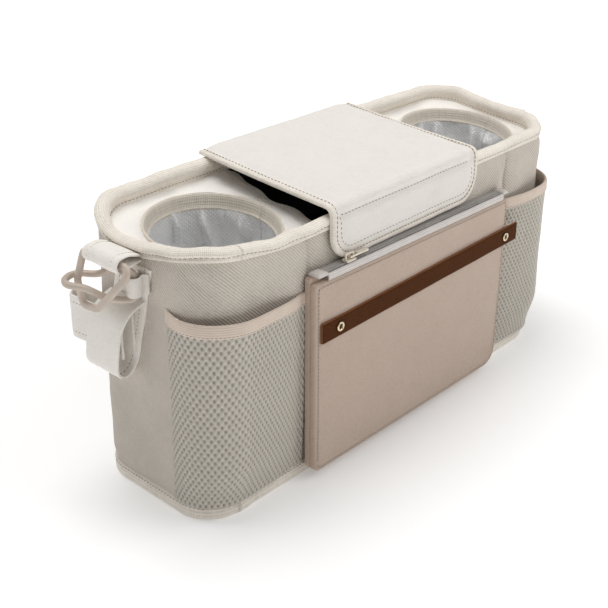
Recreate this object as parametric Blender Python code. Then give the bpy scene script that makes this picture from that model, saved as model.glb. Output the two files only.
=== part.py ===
# Stroller organizer: a long padded caddy with two drink holders, a lidded middle
# compartment, two mesh side pockets, a zipped front pouch and a clip strap at each end.
# Metres. +X runs along the length, -Y is the front with the pouch, +Z is up.
# The origin is the middle of the underside.

import math

import bmesh
import bpy
from mathutils import Vector

# Shell of the caddy
RIM_LENGTH = 0.380
RIM_WIDTH = 0.1175
RIM_CORNER = 0.030
BASE_LENGTH = 0.386
BASE_WIDTH = 0.112
BASE_CORNER = 0.027
RIM_HEIGHT = 0.1955
RIM_SLOPE = 0.12
RIM_LEAN = 0.016
LEFT_END_SAG = 0.0105
SAG_Y = 0.020
SAG_START = 0.8
SAG_REACH_FRONT = 0.078
SAG_REACH_BACK = 0.042
CORNER_LIFT = 0.0075
CORNER_LIFT_REACH = 0.075
WALL_THICKNESS = 0.005
WALL_BULGE = 0.0012
GAP = 0.0003
FRONT_SEAM_LEFT = -0.100
FRONT_SEAM_RIGHT = 0.125
BACK_SEAM = 0.112
BOTTOM_THICKNESS = 0.005
BASE_BINDING_HEIGHT = 0.010
BASE_BINDING_LIFT = 0.0006
BASE_BINDING_THICKNESS = 0.0015
RIM_BAND_HEIGHT = 0.008
RIM_SKIRT_DEPTH = 0.012
RIM_BAND_OUT = 0.0012
RIM_BAND_IN = 0.0068

# Deck, drink holders and middle compartment
DECK_DROP = 0.0115
DECK_THICKNESS = 0.003
COLLAR_RADIUS = 0.0452
CUP_END_MARGIN = 0.0123
CUP_X = RIM_LENGTH / 2 - CUP_END_MARGIN - COLLAR_RADIUS
CUP_Y = -0.0045
COLLAR_INNER = 0.0420
COLLAR_DEPTH = 0.009
COLLAR_THICKNESS = 0.0014
COLLAR_LIP = 0.0010
LINER_THICKNESS = 0.0014
LINER_TAPER = 0.003
LINER_FOOT_TAPER = 0.0048
LINER_FOOT_SHARE = 0.02
LINER_SHOULDER_SHARE = 0.75
DIVIDER_MARGIN = 0.0021
DIVIDER_X = CUP_X - COLLAR_RADIUS - DIVIDER_MARGIN
DIVIDER_THICKNESS = 0.003
HEM_MARGIN_FRONT = 0.0008
HEM_MARGIN_BACK = 0.0138
HEM_SEAM_FRONT = CUP_X - COLLAR_RADIUS - HEM_MARGIN_FRONT
HEM_SEAM_BACK = CUP_X - COLLAR_RADIUS - HEM_MARGIN_BACK
HEM_WIDTH = 0.014
HEM_SAG = 0.004
HEM_THICKNESS = 0.0015
LINING_THICKNESS = 0.001

# Lid
LID_CENTRE_X = -0.0035
LID_WIDTH = 0.161
LID_THICKNESS = 0.0030
LID_BACK_MARGIN = 0.00345
LID_FRONT_MARGIN = 0.00395
LID_BACK_Y = RIM_WIDTH / 2 + LID_BACK_MARGIN
LID_FRONT_Y = -(RIM_WIDTH / 2 + LID_FRONT_MARGIN)
LID_HANG = 0.039
LID_LOW_Z = RIM_HEIGHT - LID_HANG
LID_SLOPE = 0.08
LID_FOLD_RADIUS = 0.006
LID_CORNER = 0.020
LID_BINDING_WIDTH = 0.0048
LID_BINDING_EXTRA = 0.0003
LID_AXIS_MARGIN = 0.0033
LID_AXIS_Y = LID_BACK_Y + LID_AXIS_MARGIN
LID_ROOT_THICKNESS = 0.0012
LID_ROOT_HEIGHT = 0.026
TAPE_LENGTH = 0.060
TAPE_HEIGHT = 0.012
TAPE_LIFT = 0.0055
TAPE_LOW_Z = LID_LOW_Z + TAPE_LIFT
TAPE_THICKNESS = 0.0006

# Mesh pockets
POCKET_FRONT_X = {"left": 0.103, "right": 0.118}
POCKET_END_Y = -0.0245
POCKET_LOW_Z = 0.0125
POCKET_DROP_SEAM = 0.053
POCKET_DROP_END = 0.047
POCKET_TOP_SEAM_Z = RIM_HEIGHT - POCKET_DROP_SEAM
POCKET_TOP_END_Z = RIM_HEIGHT - POCKET_DROP_END
POCKET_BULGE = 0.0080
POCKET_FULLNESS = 0.8
POCKET_THICKNESS = 0.0015
POCKET_SEAM = 0.0055
ELASTIC_HEIGHT = 0.008

# Zipped pouch
POUCH_CENTRE_X = 0.0035
POUCH_WIDTH = 0.220
POUCH_LOW_Z = 0.0055
POUCH_UNDER_LID = 0.0065
POUCH_TOP_Z = LID_LOW_Z - POUCH_UNDER_LID
POUCH_STAND_OFF = 0.00225
POUCH_BACK_LAYER = 0.0050
POUCH_FRONT_LAYER = 0.0045
POUCH_BACK_Y = -(RIM_WIDTH / 2 + POUCH_STAND_OFF)
POUCH_SPLIT_Y = POUCH_BACK_Y - POUCH_BACK_LAYER
POUCH_FRONT_Y = POUCH_SPLIT_Y - POUCH_FRONT_LAYER
POUCH_CORNER = 0.006
POUCH_CORNER_RIGHT = 0.014
POUCH_CORNER_TOP = 0.002
ZIP_UNDER_LID = 0.0016
ZIP_TOP_Z = LID_LOW_Z - ZIP_UNDER_LID
ZIP_TAPE_THICKNESS = 0.0010
ZIP_TAPE_SLANT = 0.0002
ZIP_LEFT_X = -0.094
ZIP_RIGHT_X = 0.106
TEETH_WIDTH = 0.0030
TEETH_PITCH = 0.0025
TEETH_RISE = 0.0006
TEETH_HEIGHT = 0.0022
TOOTH_SHAPE = ((0.05, 0.0), (0.15, 1.0), (0.65, 1.0), (0.75, 0.0))
ZIP_END_LENGTH = {"left": 0.009, "right": 0.0063}
SLIDER_X = -0.071
SLIDER_LENGTH = 0.009
SLIDER_WIDTH = 0.0054
SLIDER_THICKNESS = 0.0014
SLIDER_CLEARANCE = 0.0004
BRIDGE_HEIGHT = 0.0042
BRIDGE_BAR = 0.0010
BRIDGE_WIDTH = 0.0014
BRIDGE_INSET = 0.0004
PULL_LENGTH = 0.0185
PULL_WIDTH = 0.0044
PULL_ARM = 0.0010
PULL_SLOT = 0.0075
PULL_CORNER_INNER = 0.0004
PULL_CORNER_OUTER = 0.00198
PULL_RISE = 0.0015
STRIP_LEFT_X = -0.102
STRIP_RIGHT_X = 0.126
STRIP_UNDER_TOP = 0.043
STRIP_LOW_Z = POUCH_TOP_Z - STRIP_UNDER_TOP
STRIP_HEIGHT = 0.0140
STRIP_CORNER = 0.001
STRIP_RISE = 0.0055
STRIP_THICKNESS = 0.0024
EYELET_LEFT_X = -0.085
EYELET_RIGHT_X = 0.1095
EYELET_RADIUS = 0.0037
EYELET_HOLE = 0.0016
EYELET_BARREL = 0.0023
EYELET_FLANGE = 0.0008
EYELET_EASE = 0.00037
HANGER_LENGTH = 0.015
HANGER_HEIGHT = 0.010
HANGER_UNDER_TOP = 0.021
HANGER_LOW_Z = POUCH_TOP_Z - HANGER_UNDER_TOP
HANGER_THICKNESS = 0.0012
HANGER_INSET = 0.003

# Clip strap at each end: the outward direction is written as positive
TAB_WALL_Y = 0.013
TAB_BAR_Y = 0.0010
TAB_WIDTH = 0.036
TAB_BAR_WIDTH = 0.0335
WEBBING = 0.0012
BAR_OUT = 0.0240
BAR_DROP = 0.013
BAR_Z = RIM_HEIGHT - BAR_DROP
TAB_DROP = 0.0035
TAB_KNEE = 0.55
TAB_KNEE_RISE = 0.3
TAB_KNEE_FALL = 1.1
TAB_WRAP = 105
TAB_ROOT_STEP = 2.4
RING_TILT = 16
RING_HALF_WIDTH = 0.0024
RING_HALF_DEPTH = 0.0018
RING_TOP_FRONT = 0.0200
RING_TOP_BACK = 0.0225
RING_LEG_Y = 0.0245
RING_LEG_DROP = 0.0200
RING_FOOT_BACK_Y = 0.0150
RING_FOOT_FRONT_Y = 0.0010
RING_FOOT_DROP = 0.0330
RING_FOOT_RISE = 0.001
RING_FRONT_DROP = 0.0067
RING_FILLET = 0.0060
RING_BACK_FILLET = 0.004
RING_FRONT_FILLET = 0.003
BAR_EASE = 0.45
HOOK_EYE_OUT = 0.0105
HOOK_EYE_Y = -0.0070
HOOK_EYE_DROP = 0.033
HOOK_EYE_Z = RIM_HEIGHT - HOOK_EYE_DROP
HOOK_PAST_LEG = 0.0072
HOOK_HALF_WIDTH = 0.0096
HOOK_BAR_HALF = 0.0021
HOOK_EYE_FILLET = 0.003
HOOK_NOSE_FILLET = 0.008
HOOK_TWIST_SHARE = 0.7
HOOK_STEP = 0.004
HOOK_TAB_WRAP = 155
HOOK_TAB_ROOT = 0.0055
HOOK_TAB_NECK = 0.0030
HOOK_TAB_NECK_OUT = 0.0008
HOOK_TAB_HEIGHT = 0.013
LOOP_WIDTH = 0.033
LOOP_TOP_Y = 0.0030
LOOP_DROP = 0.024
LOOP_TOP_Z = RIM_HEIGHT - LOOP_DROP
LOOP_JOIN_DROP = 0.0225
LOOP_JOIN_Z = LOOP_TOP_Z - LOOP_JOIN_DROP
LOOP_LENGTH = 0.079
LOOP_LOW_Z = LOOP_TOP_Z - LOOP_LENGTH
LOOP_CURVE = ((0.0, 0.4), (0.08, 0.2), (0.50, 0.06))
LOOP_LEAN = 0.27
LOOP_OUTER_OUT = 0.0200
LOOP_THICKNESS = 0.0016
LOOP_FOLD = 0.015
TAIL_FOLD_Y = 0.0590
TAIL_ROOT_Y = 0.0050
TAIL_LIFT = 0.0155
TAIL_LOW_Z = LOOP_LOW_Z + TAIL_LIFT
TAIL_HEIGHT = 0.031
TAIL_INNER_OUT = 0.0045
TAIL_OUTER_OUT = 0.0145
TAIL_THICKNESS = 0.0014
TAIL_FOLD = 0.009
TAIL_BULB = 1.6
TAIL_STRAIGHT = 0.6

# How finely the curved pieces are divided
STRAIGHT_STEPS = 10
ARC_STEPS = 6
ROUND_STEPS = 36
HOLE_STEPS = 20
CORNER_STEPS = 5
FOLD_STEPS = 6
WRAP_STEPS = 8
LID_STEPS = 4
HEM_STEPS = 3
LEVELS = 5

HALF_LENGTH = RIM_LENGTH / 2
HALF_WIDTH = RIM_WIDTH / 2
SIDES = {"left": -1, "right": 1}

COLOURS = {
    "twill": ((0.62, 0.58, 0.53), 0.9, 0.0),
    "linen": ((0.74, 0.70, 0.66), 0.9, 0.0),
    "binding": ((0.76, 0.70, 0.62), 0.85, 0.0),
    "foil": ((0.62, 0.63, 0.65), 0.3, 0.8),
    "lining": ((0.03, 0.03, 0.03), 0.9, 0.0),
    "mesh": ((0.72, 0.68, 0.61), 0.85, 0.0),
    "elastic": ((0.60, 0.53, 0.46), 0.8, 0.0),
    "pouch": ((0.50, 0.41, 0.34), 0.6, 0.0),
    "zip_tape": ((0.72, 0.68, 0.64), 0.8, 0.0),
    "zip_teeth": ((0.40, 0.39, 0.38), 0.5, 0.0),
    "zip_metal": ((0.80, 0.72, 0.58), 0.4, 0.6),
    "leather": ((0.20, 0.075, 0.025), 0.6, 0.0),
    "brass": ((0.75, 0.60, 0.38), 0.3, 1.0),
    "plastic": ((0.70, 0.60, 0.52), 0.4, 0.0),
    "webbing": ((0.66, 0.62, 0.56), 0.9, 0.0),
    "hook_tape": ((0.55, 0.50, 0.45), 0.95, 0.0),
}


def clear_scene():
    for item in list(bpy.data.objects):
        bpy.data.objects.remove(item, do_unlink=True)


def mix(a, b, t):
    return a + (b - a) * t


def smooth_step(t):
    t = min(max(t, 0.0), 1.0)
    return t * t * (3 - 2 * t)


def material(key):
    found = bpy.data.materials.get(key)
    if found:
        return found
    colour, roughness, metallic = COLOURS[key]
    made = bpy.data.materials.new(key)
    made.use_nodes = True
    shader = made.node_tree.nodes["Principled BSDF"]
    shader.inputs["Base Color"].default_value = (*colour, 1.0)
    shader.inputs["Roughness"].default_value = roughness
    shader.inputs["Metallic"].default_value = metallic
    made.diffuse_color = (*colour, 1.0)
    return made


def finish_object(name, mesh_data, key, origin=(0.0, 0.0, 0.0), crease=40):
    """Turn a bmesh in world coordinates into an object whose origin is where it is asked."""
    bmesh.ops.recalc_face_normals(mesh_data, faces=mesh_data.faces)
    bmesh.ops.translate(mesh_data, vec=-Vector(origin), verts=mesh_data.verts)
    mesh = bpy.data.meshes.new(name)
    mesh_data.to_mesh(mesh)
    mesh_data.free()
    mesh.shade_smooth()
    mesh.set_sharp_from_angle(angle=math.radians(crease))
    mesh.materials.append(material(key))
    made = bpy.data.objects.new(name, mesh)
    made.location = origin
    bpy.context.collection.objects.link(made)
    return made


def strip_solid(name, face_a, face_b, key, closed=False, origin=(0.0, 0.0, 0.0)):
    """A closed solid between two grids of points, such as the two faces of a cloth."""
    bm = bmesh.new()
    grids = []
    for face in (face_a, face_b):
        grids.append([[bm.verts.new(point) for point in row] for row in face])
    rows = len(face_a)
    columns = len(face_a[0])
    last = rows if closed else rows - 1
    for i in range(last):
        j = (i + 1) % rows
        for grid in grids:
            for k in range(columns - 1):
                bm.faces.new((grid[i][k], grid[j][k], grid[j][k + 1], grid[i][k + 1]))
        for k in (0, columns - 1):
            a, b = grids
            bm.faces.new((a[i][k], a[j][k], b[j][k], b[i][k]))
    if not closed:
        for i in (0, rows - 1):
            for k in range(columns - 1):
                a, b = grids
                bm.faces.new((a[i][k], a[i][k + 1], b[i][k + 1], b[i][k]))
    return finish_object(name, bm, key, origin)


def swept_solid(name, sections, key, closed=False, origin=(0.0, 0.0, 0.0)):
    """A bar through a list of outlines; a closed one is a ring, an open one has flat ends."""
    bm = bmesh.new()
    rings = [[bm.verts.new(point) for point in section] for section in sections]
    count = len(sections[0])
    last = len(rings) if closed else len(rings) - 1
    for i in range(last):
        here = rings[i]
        there = rings[(i + 1) % len(rings)]
        for k in range(count):
            n = (k + 1) % count
            bm.faces.new((here[k], there[k], there[n], here[n]))
    if not closed:
        bm.faces.new(rings[0])
        bm.faces.new(list(reversed(rings[-1])))
    return finish_object(name, bm, key, origin)


def across_y(u, v, height):
    return (u, height, v)


def plate_solid(name, loops, low, high, key, place=across_y, origin=(0.0, 0.0, 0.0)):
    """A plate whose first loop of (u, v) points is its edge and whose others are holes."""
    bm = bmesh.new()
    sheets = []
    for height in (low, high):
        edges = []
        rows = []
        for loop in loops:
            row = [bm.verts.new(place(u, v, height)) for u, v in loop]
            for k, vertex in enumerate(row):
                edges.append(bm.edges.new((vertex, row[(k + 1) % len(row)])))
            rows.append(row)
        bmesh.ops.triangle_fill(bm, use_beauty=True, edges=edges)
        sheets.append(rows)
    for near, far in zip(*sheets):
        for k in range(len(near)):
            n = (k + 1) % len(near)
            bm.faces.new((near[k], near[n], far[n], far[k]))
    return finish_object(name, bm, key, origin)


def turned_solid(name, profile, place, key, closed=True):
    """A ring or a cup from a profile of (radius, height); place(x, y, h) gives the point."""
    bm = bmesh.new()
    rings = []
    for radius, height in profile:
        if radius == 0.0:
            rings.append([bm.verts.new(place(0.0, 0.0, height))])
            continue
        ring = []
        for k in range(ROUND_STEPS):
            angle = 2 * math.pi * k / ROUND_STEPS
            ring.append(bm.verts.new(place(radius * math.cos(angle), radius * math.sin(angle), height)))
        rings.append(ring)
    pairs = list(zip(rings, rings[1:]))
    if closed:
        pairs.append((rings[-1], rings[0]))
    for one, two in pairs:
        for k in range(ROUND_STEPS):
            n = (k + 1) % ROUND_STEPS
            if len(one) == 1:
                bm.faces.new((one[0], two[k], two[n]))
            elif len(two) == 1:
                bm.faces.new((one[k], one[n], two[0]))
            else:
                bm.faces.new((one[k], one[n], two[n], two[k]))
    return finish_object(name, bm, key)


def circle(x, z, radius, steps=HOLE_STEPS):
    angles = [2 * math.pi * k / steps for k in range(steps)]
    return [(x + radius * math.cos(angle), z + radius * math.sin(angle)) for angle in angles]


def rounded_outline(corners, radii, steps=CORNER_STEPS):
    """Points of a polygon whose corners are rounded by arcs."""
    points = []
    count = len(corners)
    for k, corner in enumerate(corners):
        here = Vector(corner)
        before = (Vector(corners[k - 1]) - here).normalized()
        after = (Vector(corners[(k + 1) % count]) - here).normalized()
        half = before.angle(after) / 2
        reach = radii[k] / math.tan(half)
        start = here + before * reach
        end = here + after * reach
        centre = here + (before + after).normalized() * (radii[k] / math.sin(half))
        for s in range(steps + 1):
            t = s / steps
            spoke = ((start - centre) * (1 - t) + (end - centre) * t).normalized()
            points.append(tuple(centre + spoke * radii[k]))
    return points


def divided(points, step):
    """The same closed outline with its long straights cut into shorter ones."""
    out = []
    for k, here in enumerate(points):
        there = points[(k + 1) % len(points)]
        count = max(1, round(math.dist(here, there) / step))
        for j in range(count):
            out.append((mix(here[0], there[0], j / count), mix(here[1], there[1], j / count)))
    return out


# Shape of the shell

def half_sizes(z):
    """Half length, half width and corner radius of the outside at a height."""
    t = min(max(z / RIM_HEIGHT, 0.0), 1.0)
    half_length = mix(BASE_LENGTH, RIM_LENGTH, t) / 2
    half_width = mix(BASE_WIDTH, RIM_WIDTH, t) / 2 + WALL_BULGE * 4 * t * (1 - t)
    return half_length, half_width, mix(BASE_CORNER, RIM_CORNER, t)


def outline_point(s, z, inset=0.0):
    """A point round the shell: s runs 0 to 8 over four sides and four corners."""
    half_length, half_width, radius = half_sizes(z)
    across_x = half_length - radius
    across_y = half_width - radius
    radius -= inset
    part = int(s) % 8
    t = s - int(s)
    if part == 0:
        return mix(-across_x, across_x, t), -half_width + inset
    if part == 2:
        return half_length - inset, mix(-across_y, across_y, t)
    if part == 4:
        return mix(across_x, -across_x, t), half_width - inset
    if part == 6:
        return -half_length + inset, mix(across_y, -across_y, t)
    corner_x = across_x if part in (1, 3) else -across_x
    corner_y = -across_y if part in (1, 7) else across_y
    start = {1: -90, 3: 0, 5: 90, 7: 180}[part]
    angle = math.radians(start + 90 * t)
    return corner_x + radius * math.cos(angle), corner_y + radius * math.sin(angle)


def front_station(x):
    """Where along the outline the front wall passes x."""
    half_length, _, radius = half_sizes(RIM_HEIGHT)
    across = half_length - radius
    return (x + across) / (2 * across)


def back_station(x):
    return 5 - front_station(x)


def end_station(y):
    """Where along the outline the left end passes y."""
    _, half_width, radius = half_sizes(RIM_HEIGHT)
    across = half_width - radius
    return 6 + (across - y) / (2 * across)


def stations(start, end):
    """Outline stations from start to end, all between them on one grid that the pieces share."""
    marks = [start]
    s = start
    while s < end - 1e-9:
        part = math.floor(s + 1e-9)
        steps = ARC_STEPS if part % 2 else STRAIGHT_STEPS
        passed = math.floor((s - part) * steps + 1e-9)
        s = min(part + (passed + 1) / steps, end)
        marks.append(s)
    return marks


def full_round():
    return stations(0.0, 8.0)[:-1]


def rim_top(x, y):
    """Height of the rim's ridge: it sags at the left end and rises at the front left corner."""
    end = smooth_step((-x / HALF_LENGTH - SAG_START) / (1 - SAG_START))
    reach = SAG_REACH_BACK if y > SAG_Y else SAG_REACH_FRONT
    sag = LEFT_END_SAG * end * smooth_step(1 - abs(y - SAG_Y) / reach)
    corner = math.hypot(HALF_LENGTH + x, HALF_WIDTH + y)
    lift = CORNER_LIFT * smooth_step(1 - corner / CORNER_LIFT_REACH)
    return RIM_HEIGHT + RIM_SLOPE * y + RIM_LEAN * x - sag + lift


def deck_top(x, y):
    return RIM_HEIGHT + RIM_SLOPE * y + RIM_LEAN * x - DECK_DROP


def on_deck(x, y, height):
    return (x, y, deck_top(x, y) + height)


# Shell pieces

def wall_panel(name, start, end):
    outer = []
    inner = []
    for s in stations(start, end):
        for face, inset in ((outer, 0.0), (inner, WALL_THICKNESS)):
            top = rim_top(*outline_point(s, RIM_HEIGHT, inset)) - RIM_BAND_HEIGHT - GAP
            row = []
            for k in range(LEVELS + 1):
                z = top * k / LEVELS
                row.append((*outline_point(s, z, inset), z))
            face.append(row)
    strip_solid(name, outer, inner, "twill")


def shell_walls():
    slit = GAP / RIM_LENGTH
    left = front_station(FRONT_SEAM_LEFT)
    right = front_station(FRONT_SEAM_RIGHT)
    back_right = back_station(BACK_SEAM)
    back_left = back_station(-BACK_SEAM)
    wall_panel("front_centre_panel", left + slit, right - slit)
    wall_panel("right_wrap_panel", right + slit, back_right - slit)
    wall_panel("back_panel", back_right + slit, back_left - slit)
    wall_panel("left_wrap_panel", back_left + slit, 8 + left - slit)


def bottom_panel():
    sections = []
    bm = bmesh.new()
    for z in (0.0, BOTTOM_THICKNESS):
        row = [(*outline_point(s, z, WALL_THICKNESS + GAP), z) for s in full_round()]
        sections.append([bm.verts.new(point) for point in row])
    low, high = sections
    bm.faces.new(list(reversed(low)))
    bm.faces.new(high)
    for k in range(len(low)):
        n = (k + 1) % len(low)
        bm.faces.new((low[k], low[n], high[n], high[k]))
    finish_object("bottom_panel", bm, "twill")


def base_binding():
    outer = []
    inner = []
    heights = (BASE_BINDING_LIFT, BASE_BINDING_LIFT + BASE_BINDING_HEIGHT)
    for s in full_round():
        inner.append([(*outline_point(s, z, -GAP), z) for z in heights])
        outer.append([(*outline_point(s, z, -GAP - BASE_BINDING_THICKNESS), z) for z in heights])
    strip_solid("base_binding", outer, inner, "binding", closed=True)


def rim_binding():
    """Rolled band over the walls, with a skirt inside them that the decks are sewn to."""
    middle = (RIM_BAND_IN - RIM_BAND_OUT) / 2
    half = (RIM_BAND_IN + RIM_BAND_OUT) / 2
    profile = [(-RIM_BAND_OUT, -RIM_BAND_HEIGHT)]
    for k in range(FOLD_STEPS + 1):
        angle = math.pi * (1 - k / FOLD_STEPS)
        profile.append((middle + half * math.cos(angle), half * (math.sin(angle) - 1)))
    profile.append((RIM_BAND_IN, -RIM_SKIRT_DEPTH))
    profile.append((WALL_THICKNESS + GAP, -RIM_SKIRT_DEPTH))
    profile.append((WALL_THICKNESS + GAP, -RIM_BAND_HEIGHT))
    sections = []
    for s in full_round():
        section = []
        for inset, drop in profile:
            x, y = outline_point(s, RIM_HEIGHT, inset)
            section.append((x, y, rim_top(x, y) + drop))
        sections.append(section)
    swept_solid("rim_binding", sections, "binding", closed=True)


# Deck, drink holders and middle compartment

def hem_line(side, y, reach=0.0):
    """X of the seam where the deck turns down into the middle compartment."""
    t = (y + HALF_WIDTH) / RIM_WIDTH
    return side * (mix(HEM_SEAM_FRONT, HEM_SEAM_BACK, t) - reach)


def deck(side_name):
    side = SIDES[side_name]
    inset = RIM_BAND_IN + GAP
    reach_y = HALF_WIDTH - inset
    start = back_station(hem_line(-1, reach_y))
    end = 8 + front_station(hem_line(-1, -reach_y))
    edge = [outline_point(s, RIM_HEIGHT, inset) for s in stations(start, end)]
    edge = [(-side * x, y) for x, y in edge]
    hole = circle(side * CUP_X, CUP_Y, COLLAR_RADIUS + GAP * 2, ROUND_STEPS)
    plate_solid("deck_" + side_name, [edge, hole], -DECK_THICKNESS, 0.0, "linen", on_deck)


def deck_hem(side_name):
    side = SIDES[side_name]
    reach_y = HALF_WIDTH - RIM_BAND_IN - GAP
    top = []
    low = []
    for k in range(STRAIGHT_STEPS + 1):
        y = mix(-reach_y, reach_y, k / STRAIGHT_STEPS)
        top_row = []
        low_row = []
        for j in range(HEM_STEPS + 1):
            t = j / HEM_STEPS
            x = hem_line(side, y, GAP + (HEM_WIDTH - GAP) * t)
            z = deck_top(x, y) - HEM_SAG * t * t
            top_row.append((x, y, z))
            low_row.append((x, y, z - HEM_THICKNESS))
        top.append(top_row)
        low.append(low_row)
    strip_solid("deck_hem_" + side_name, top, low, "linen")


def cup_collar(side_name):
    side = SIDES[side_name]

    def place(x, y, height):
        px = side * CUP_X + x
        py = CUP_Y + y
        return (px, py, deck_top(px, py) + height)

    profile = [
        (COLLAR_RADIUS, -DECK_THICKNESS),
        (COLLAR_RADIUS, COLLAR_LIP),
        (COLLAR_RADIUS - COLLAR_THICKNESS, COLLAR_THICKNESS),
        (COLLAR_INNER, -COLLAR_DEPTH + COLLAR_THICKNESS),
        (COLLAR_INNER, -COLLAR_DEPTH),
        (COLLAR_INNER + COLLAR_THICKNESS, -COLLAR_DEPTH),
    ]
    turned_solid("cup_collar_" + side_name, profile, place, "binding")


def cup_liner(side_name):
    side = SIDES[side_name]
    floor = BOTTOM_THICKNESS + GAP
    centre_top = deck_top(side * CUP_X, CUP_Y) - COLLAR_DEPTH - GAP
    height = centre_top - floor

    def place(x, y, up):
        px = side * CUP_X + x
        py = CUP_Y + y
        tilt = deck_top(px, py) - deck_top(side * CUP_X, CUP_Y)
        return (px, py, floor + up * height + tilt * smooth_step(up * 2 - 1))

    outer = COLLAR_INNER + COLLAR_THICKNESS
    inner = outer - LINER_THICKNESS
    skin = LINER_THICKNESS / height
    profile = [
        (0.0, 0.0),
        (outer - LINER_FOOT_TAPER, 0.0),
        (outer - LINER_TAPER, LINER_FOOT_SHARE),
        (outer, LINER_SHOULDER_SHARE),
        (outer, 1.0),
        (inner, 1.0),
        (inner, LINER_SHOULDER_SHARE),
        (inner - LINER_TAPER, LINER_FOOT_SHARE + skin),
        (0.0, skin),
    ]
    turned_solid("cup_liner_" + side_name, profile, place, "foil", closed=False)


def divider(side_name):
    side = SIDES[side_name]
    faces = []
    for x in (DIVIDER_X - DIVIDER_THICKNESS / 2, DIVIDER_X + DIVIDER_THICKNESS / 2):
        grid = []
        for k in range(LEVELS + 1):
            row = []
            for end in (-1, 0, 1):
                reach = half_sizes(RIM_HEIGHT * k / LEVELS)[1] - WALL_THICKNESS - GAP
                y = end * reach
                top = deck_top(side * x, y) - DECK_THICKNESS - GAP
                z = mix(BOTTOM_THICKNESS + GAP, top, k / LEVELS)
                reach = half_sizes(z)[1] - WALL_THICKNESS - GAP
                row.append((side * x, end * reach, z))
            grid.append(row)
        faces.append(grid)
    strip_solid("divider_" + side_name, faces[0], faces[1], "lining")


def middle_lining():
    """Dark lining of the middle compartment: front, floor and back in one sewn piece."""
    reach = DIVIDER_X - DIVIDER_THICKNESS / 2 - GAP
    outer = []
    inner = []
    floor = BOTTOM_THICKNESS + GAP
    for x in (-reach, 0.0, reach):
        outer_row = []
        inner_row = []
        for side in (-1, 1):
            near = HALF_WIDTH - (RIM_BAND_IN if side > 0 else WALL_THICKNESS)
            top = rim_top(x, side * near) - RIM_SKIRT_DEPTH - GAP
            column_outer = []
            column_inner = []
            for k in range(LEVELS + 1):
                z = mix(top, floor, k / LEVELS)
                y = half_sizes(z)[1] - WALL_THICKNESS - GAP
                inner_z = mix(top, floor + LINING_THICKNESS, k / LEVELS)
                column_outer.append((x, side * y, z))
                column_inner.append((x, side * (y - LINING_THICKNESS), inner_z))
            if side > 0:
                column_outer.reverse()
                column_inner.reverse()
            outer_row += column_outer
            inner_row += column_inner
        outer.append(outer_row)
        inner.append(inner_row)
    strip_solid("middle_lining", outer, inner, "lining")


# Lid

def lid_under(y):
    """Height of the lid's underside over the back rim's ridge, falling to the front."""
    ridge_y = HALF_WIDTH - (RIM_BAND_IN - RIM_BAND_OUT) / 2
    return rim_top(0.0, ridge_y) + GAP * 2 + LID_SLOPE * (y - ridge_y)


LID_AXIS = (0.0, LID_AXIS_Y, lid_under(LID_BACK_Y))


def lid_path():
    """Middle of the lid's thickness, from its back edge over the fold to its front edge."""
    half = LID_THICKNESS / 2
    points = [(LID_BACK_Y, lid_under(LID_BACK_Y) + half)]
    fold_y = LID_FRONT_Y + LID_FOLD_RADIUS
    fold_z = lid_under(fold_y) + half
    for k in range(1, LID_STEPS + 1):
        y = mix(LID_BACK_Y, fold_y, k / LID_STEPS)
        points.append((y, lid_under(y) + half))
    slope_angle = math.atan(LID_SLOPE)
    for k in range(1, FOLD_STEPS + 1):
        angle = math.radians(90) + slope_angle + (math.radians(90) - slope_angle) * k / FOLD_STEPS
        y = fold_y + LID_FOLD_RADIUS * math.cos(angle)
        z = fold_z - LID_FOLD_RADIUS + LID_FOLD_RADIUS * math.sin(angle)
        points.append((y, z))
    last_z = points[-1][1]
    for k in range(1, LID_STEPS + 1):
        points.append((LID_FRONT_Y, mix(last_z, LID_LOW_Z, k / LID_STEPS)))
    return points


LID_PATH = lid_path()
LID_RUN = [0.0]
for _a, _b in zip(LID_PATH, LID_PATH[1:]):
    LID_RUN.append(LID_RUN[-1] + math.dist(_a, _b))


def lid_point(x, run, out):
    """A point of the lid: x across, run along from the back edge, out from its middle."""
    run = min(max(run, 0.0), LID_RUN[-1])
    k = 0
    while k < len(LID_RUN) - 2 and LID_RUN[k + 1] < run:
        k += 1
    t = (run - LID_RUN[k]) / (LID_RUN[k + 1] - LID_RUN[k])
    y = mix(LID_PATH[k][0], LID_PATH[k + 1][0], t)
    z = mix(LID_PATH[k][1], LID_PATH[k + 1][1], t)
    before = LID_PATH[max(k - 1, 0) if t < 0.5 else k]
    after = LID_PATH[k + 1 if t < 0.5 else min(k + 2, len(LID_PATH) - 1)]
    along_y = after[0] - before[0]
    along_z = after[1] - before[1]
    length = math.hypot(along_y, along_z)
    normal_y = along_z / length
    normal_z = -along_y / length
    return (LID_CENTRE_X + x, y + normal_y * out, z + normal_z * out + RIM_LEAN * x)


def lid_half_width(run, inset):
    """Half the lid's width, which narrows round its two front corners."""
    left = LID_RUN[-1] - inset - run
    radius = LID_CORNER - inset
    width = LID_WIDTH / 2 - inset
    if left >= radius:
        return width
    drop = radius - max(left, 0.0)
    return width - radius + math.sqrt(max(radius * radius - drop * drop, 0.0))


def lid_runs(inset):
    """Stations along the lid, close together round its corners."""
    end = LID_RUN[-1] - inset
    radius = LID_CORNER - inset
    runs = [run for run in LID_RUN if run < end - radius - LID_BINDING_EXTRA]
    for k in range(FOLD_STEPS + 1):
        angle = math.radians(90) * k / FOLD_STEPS
        runs.append(end - radius + radius * math.sin(angle))
    return runs


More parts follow.
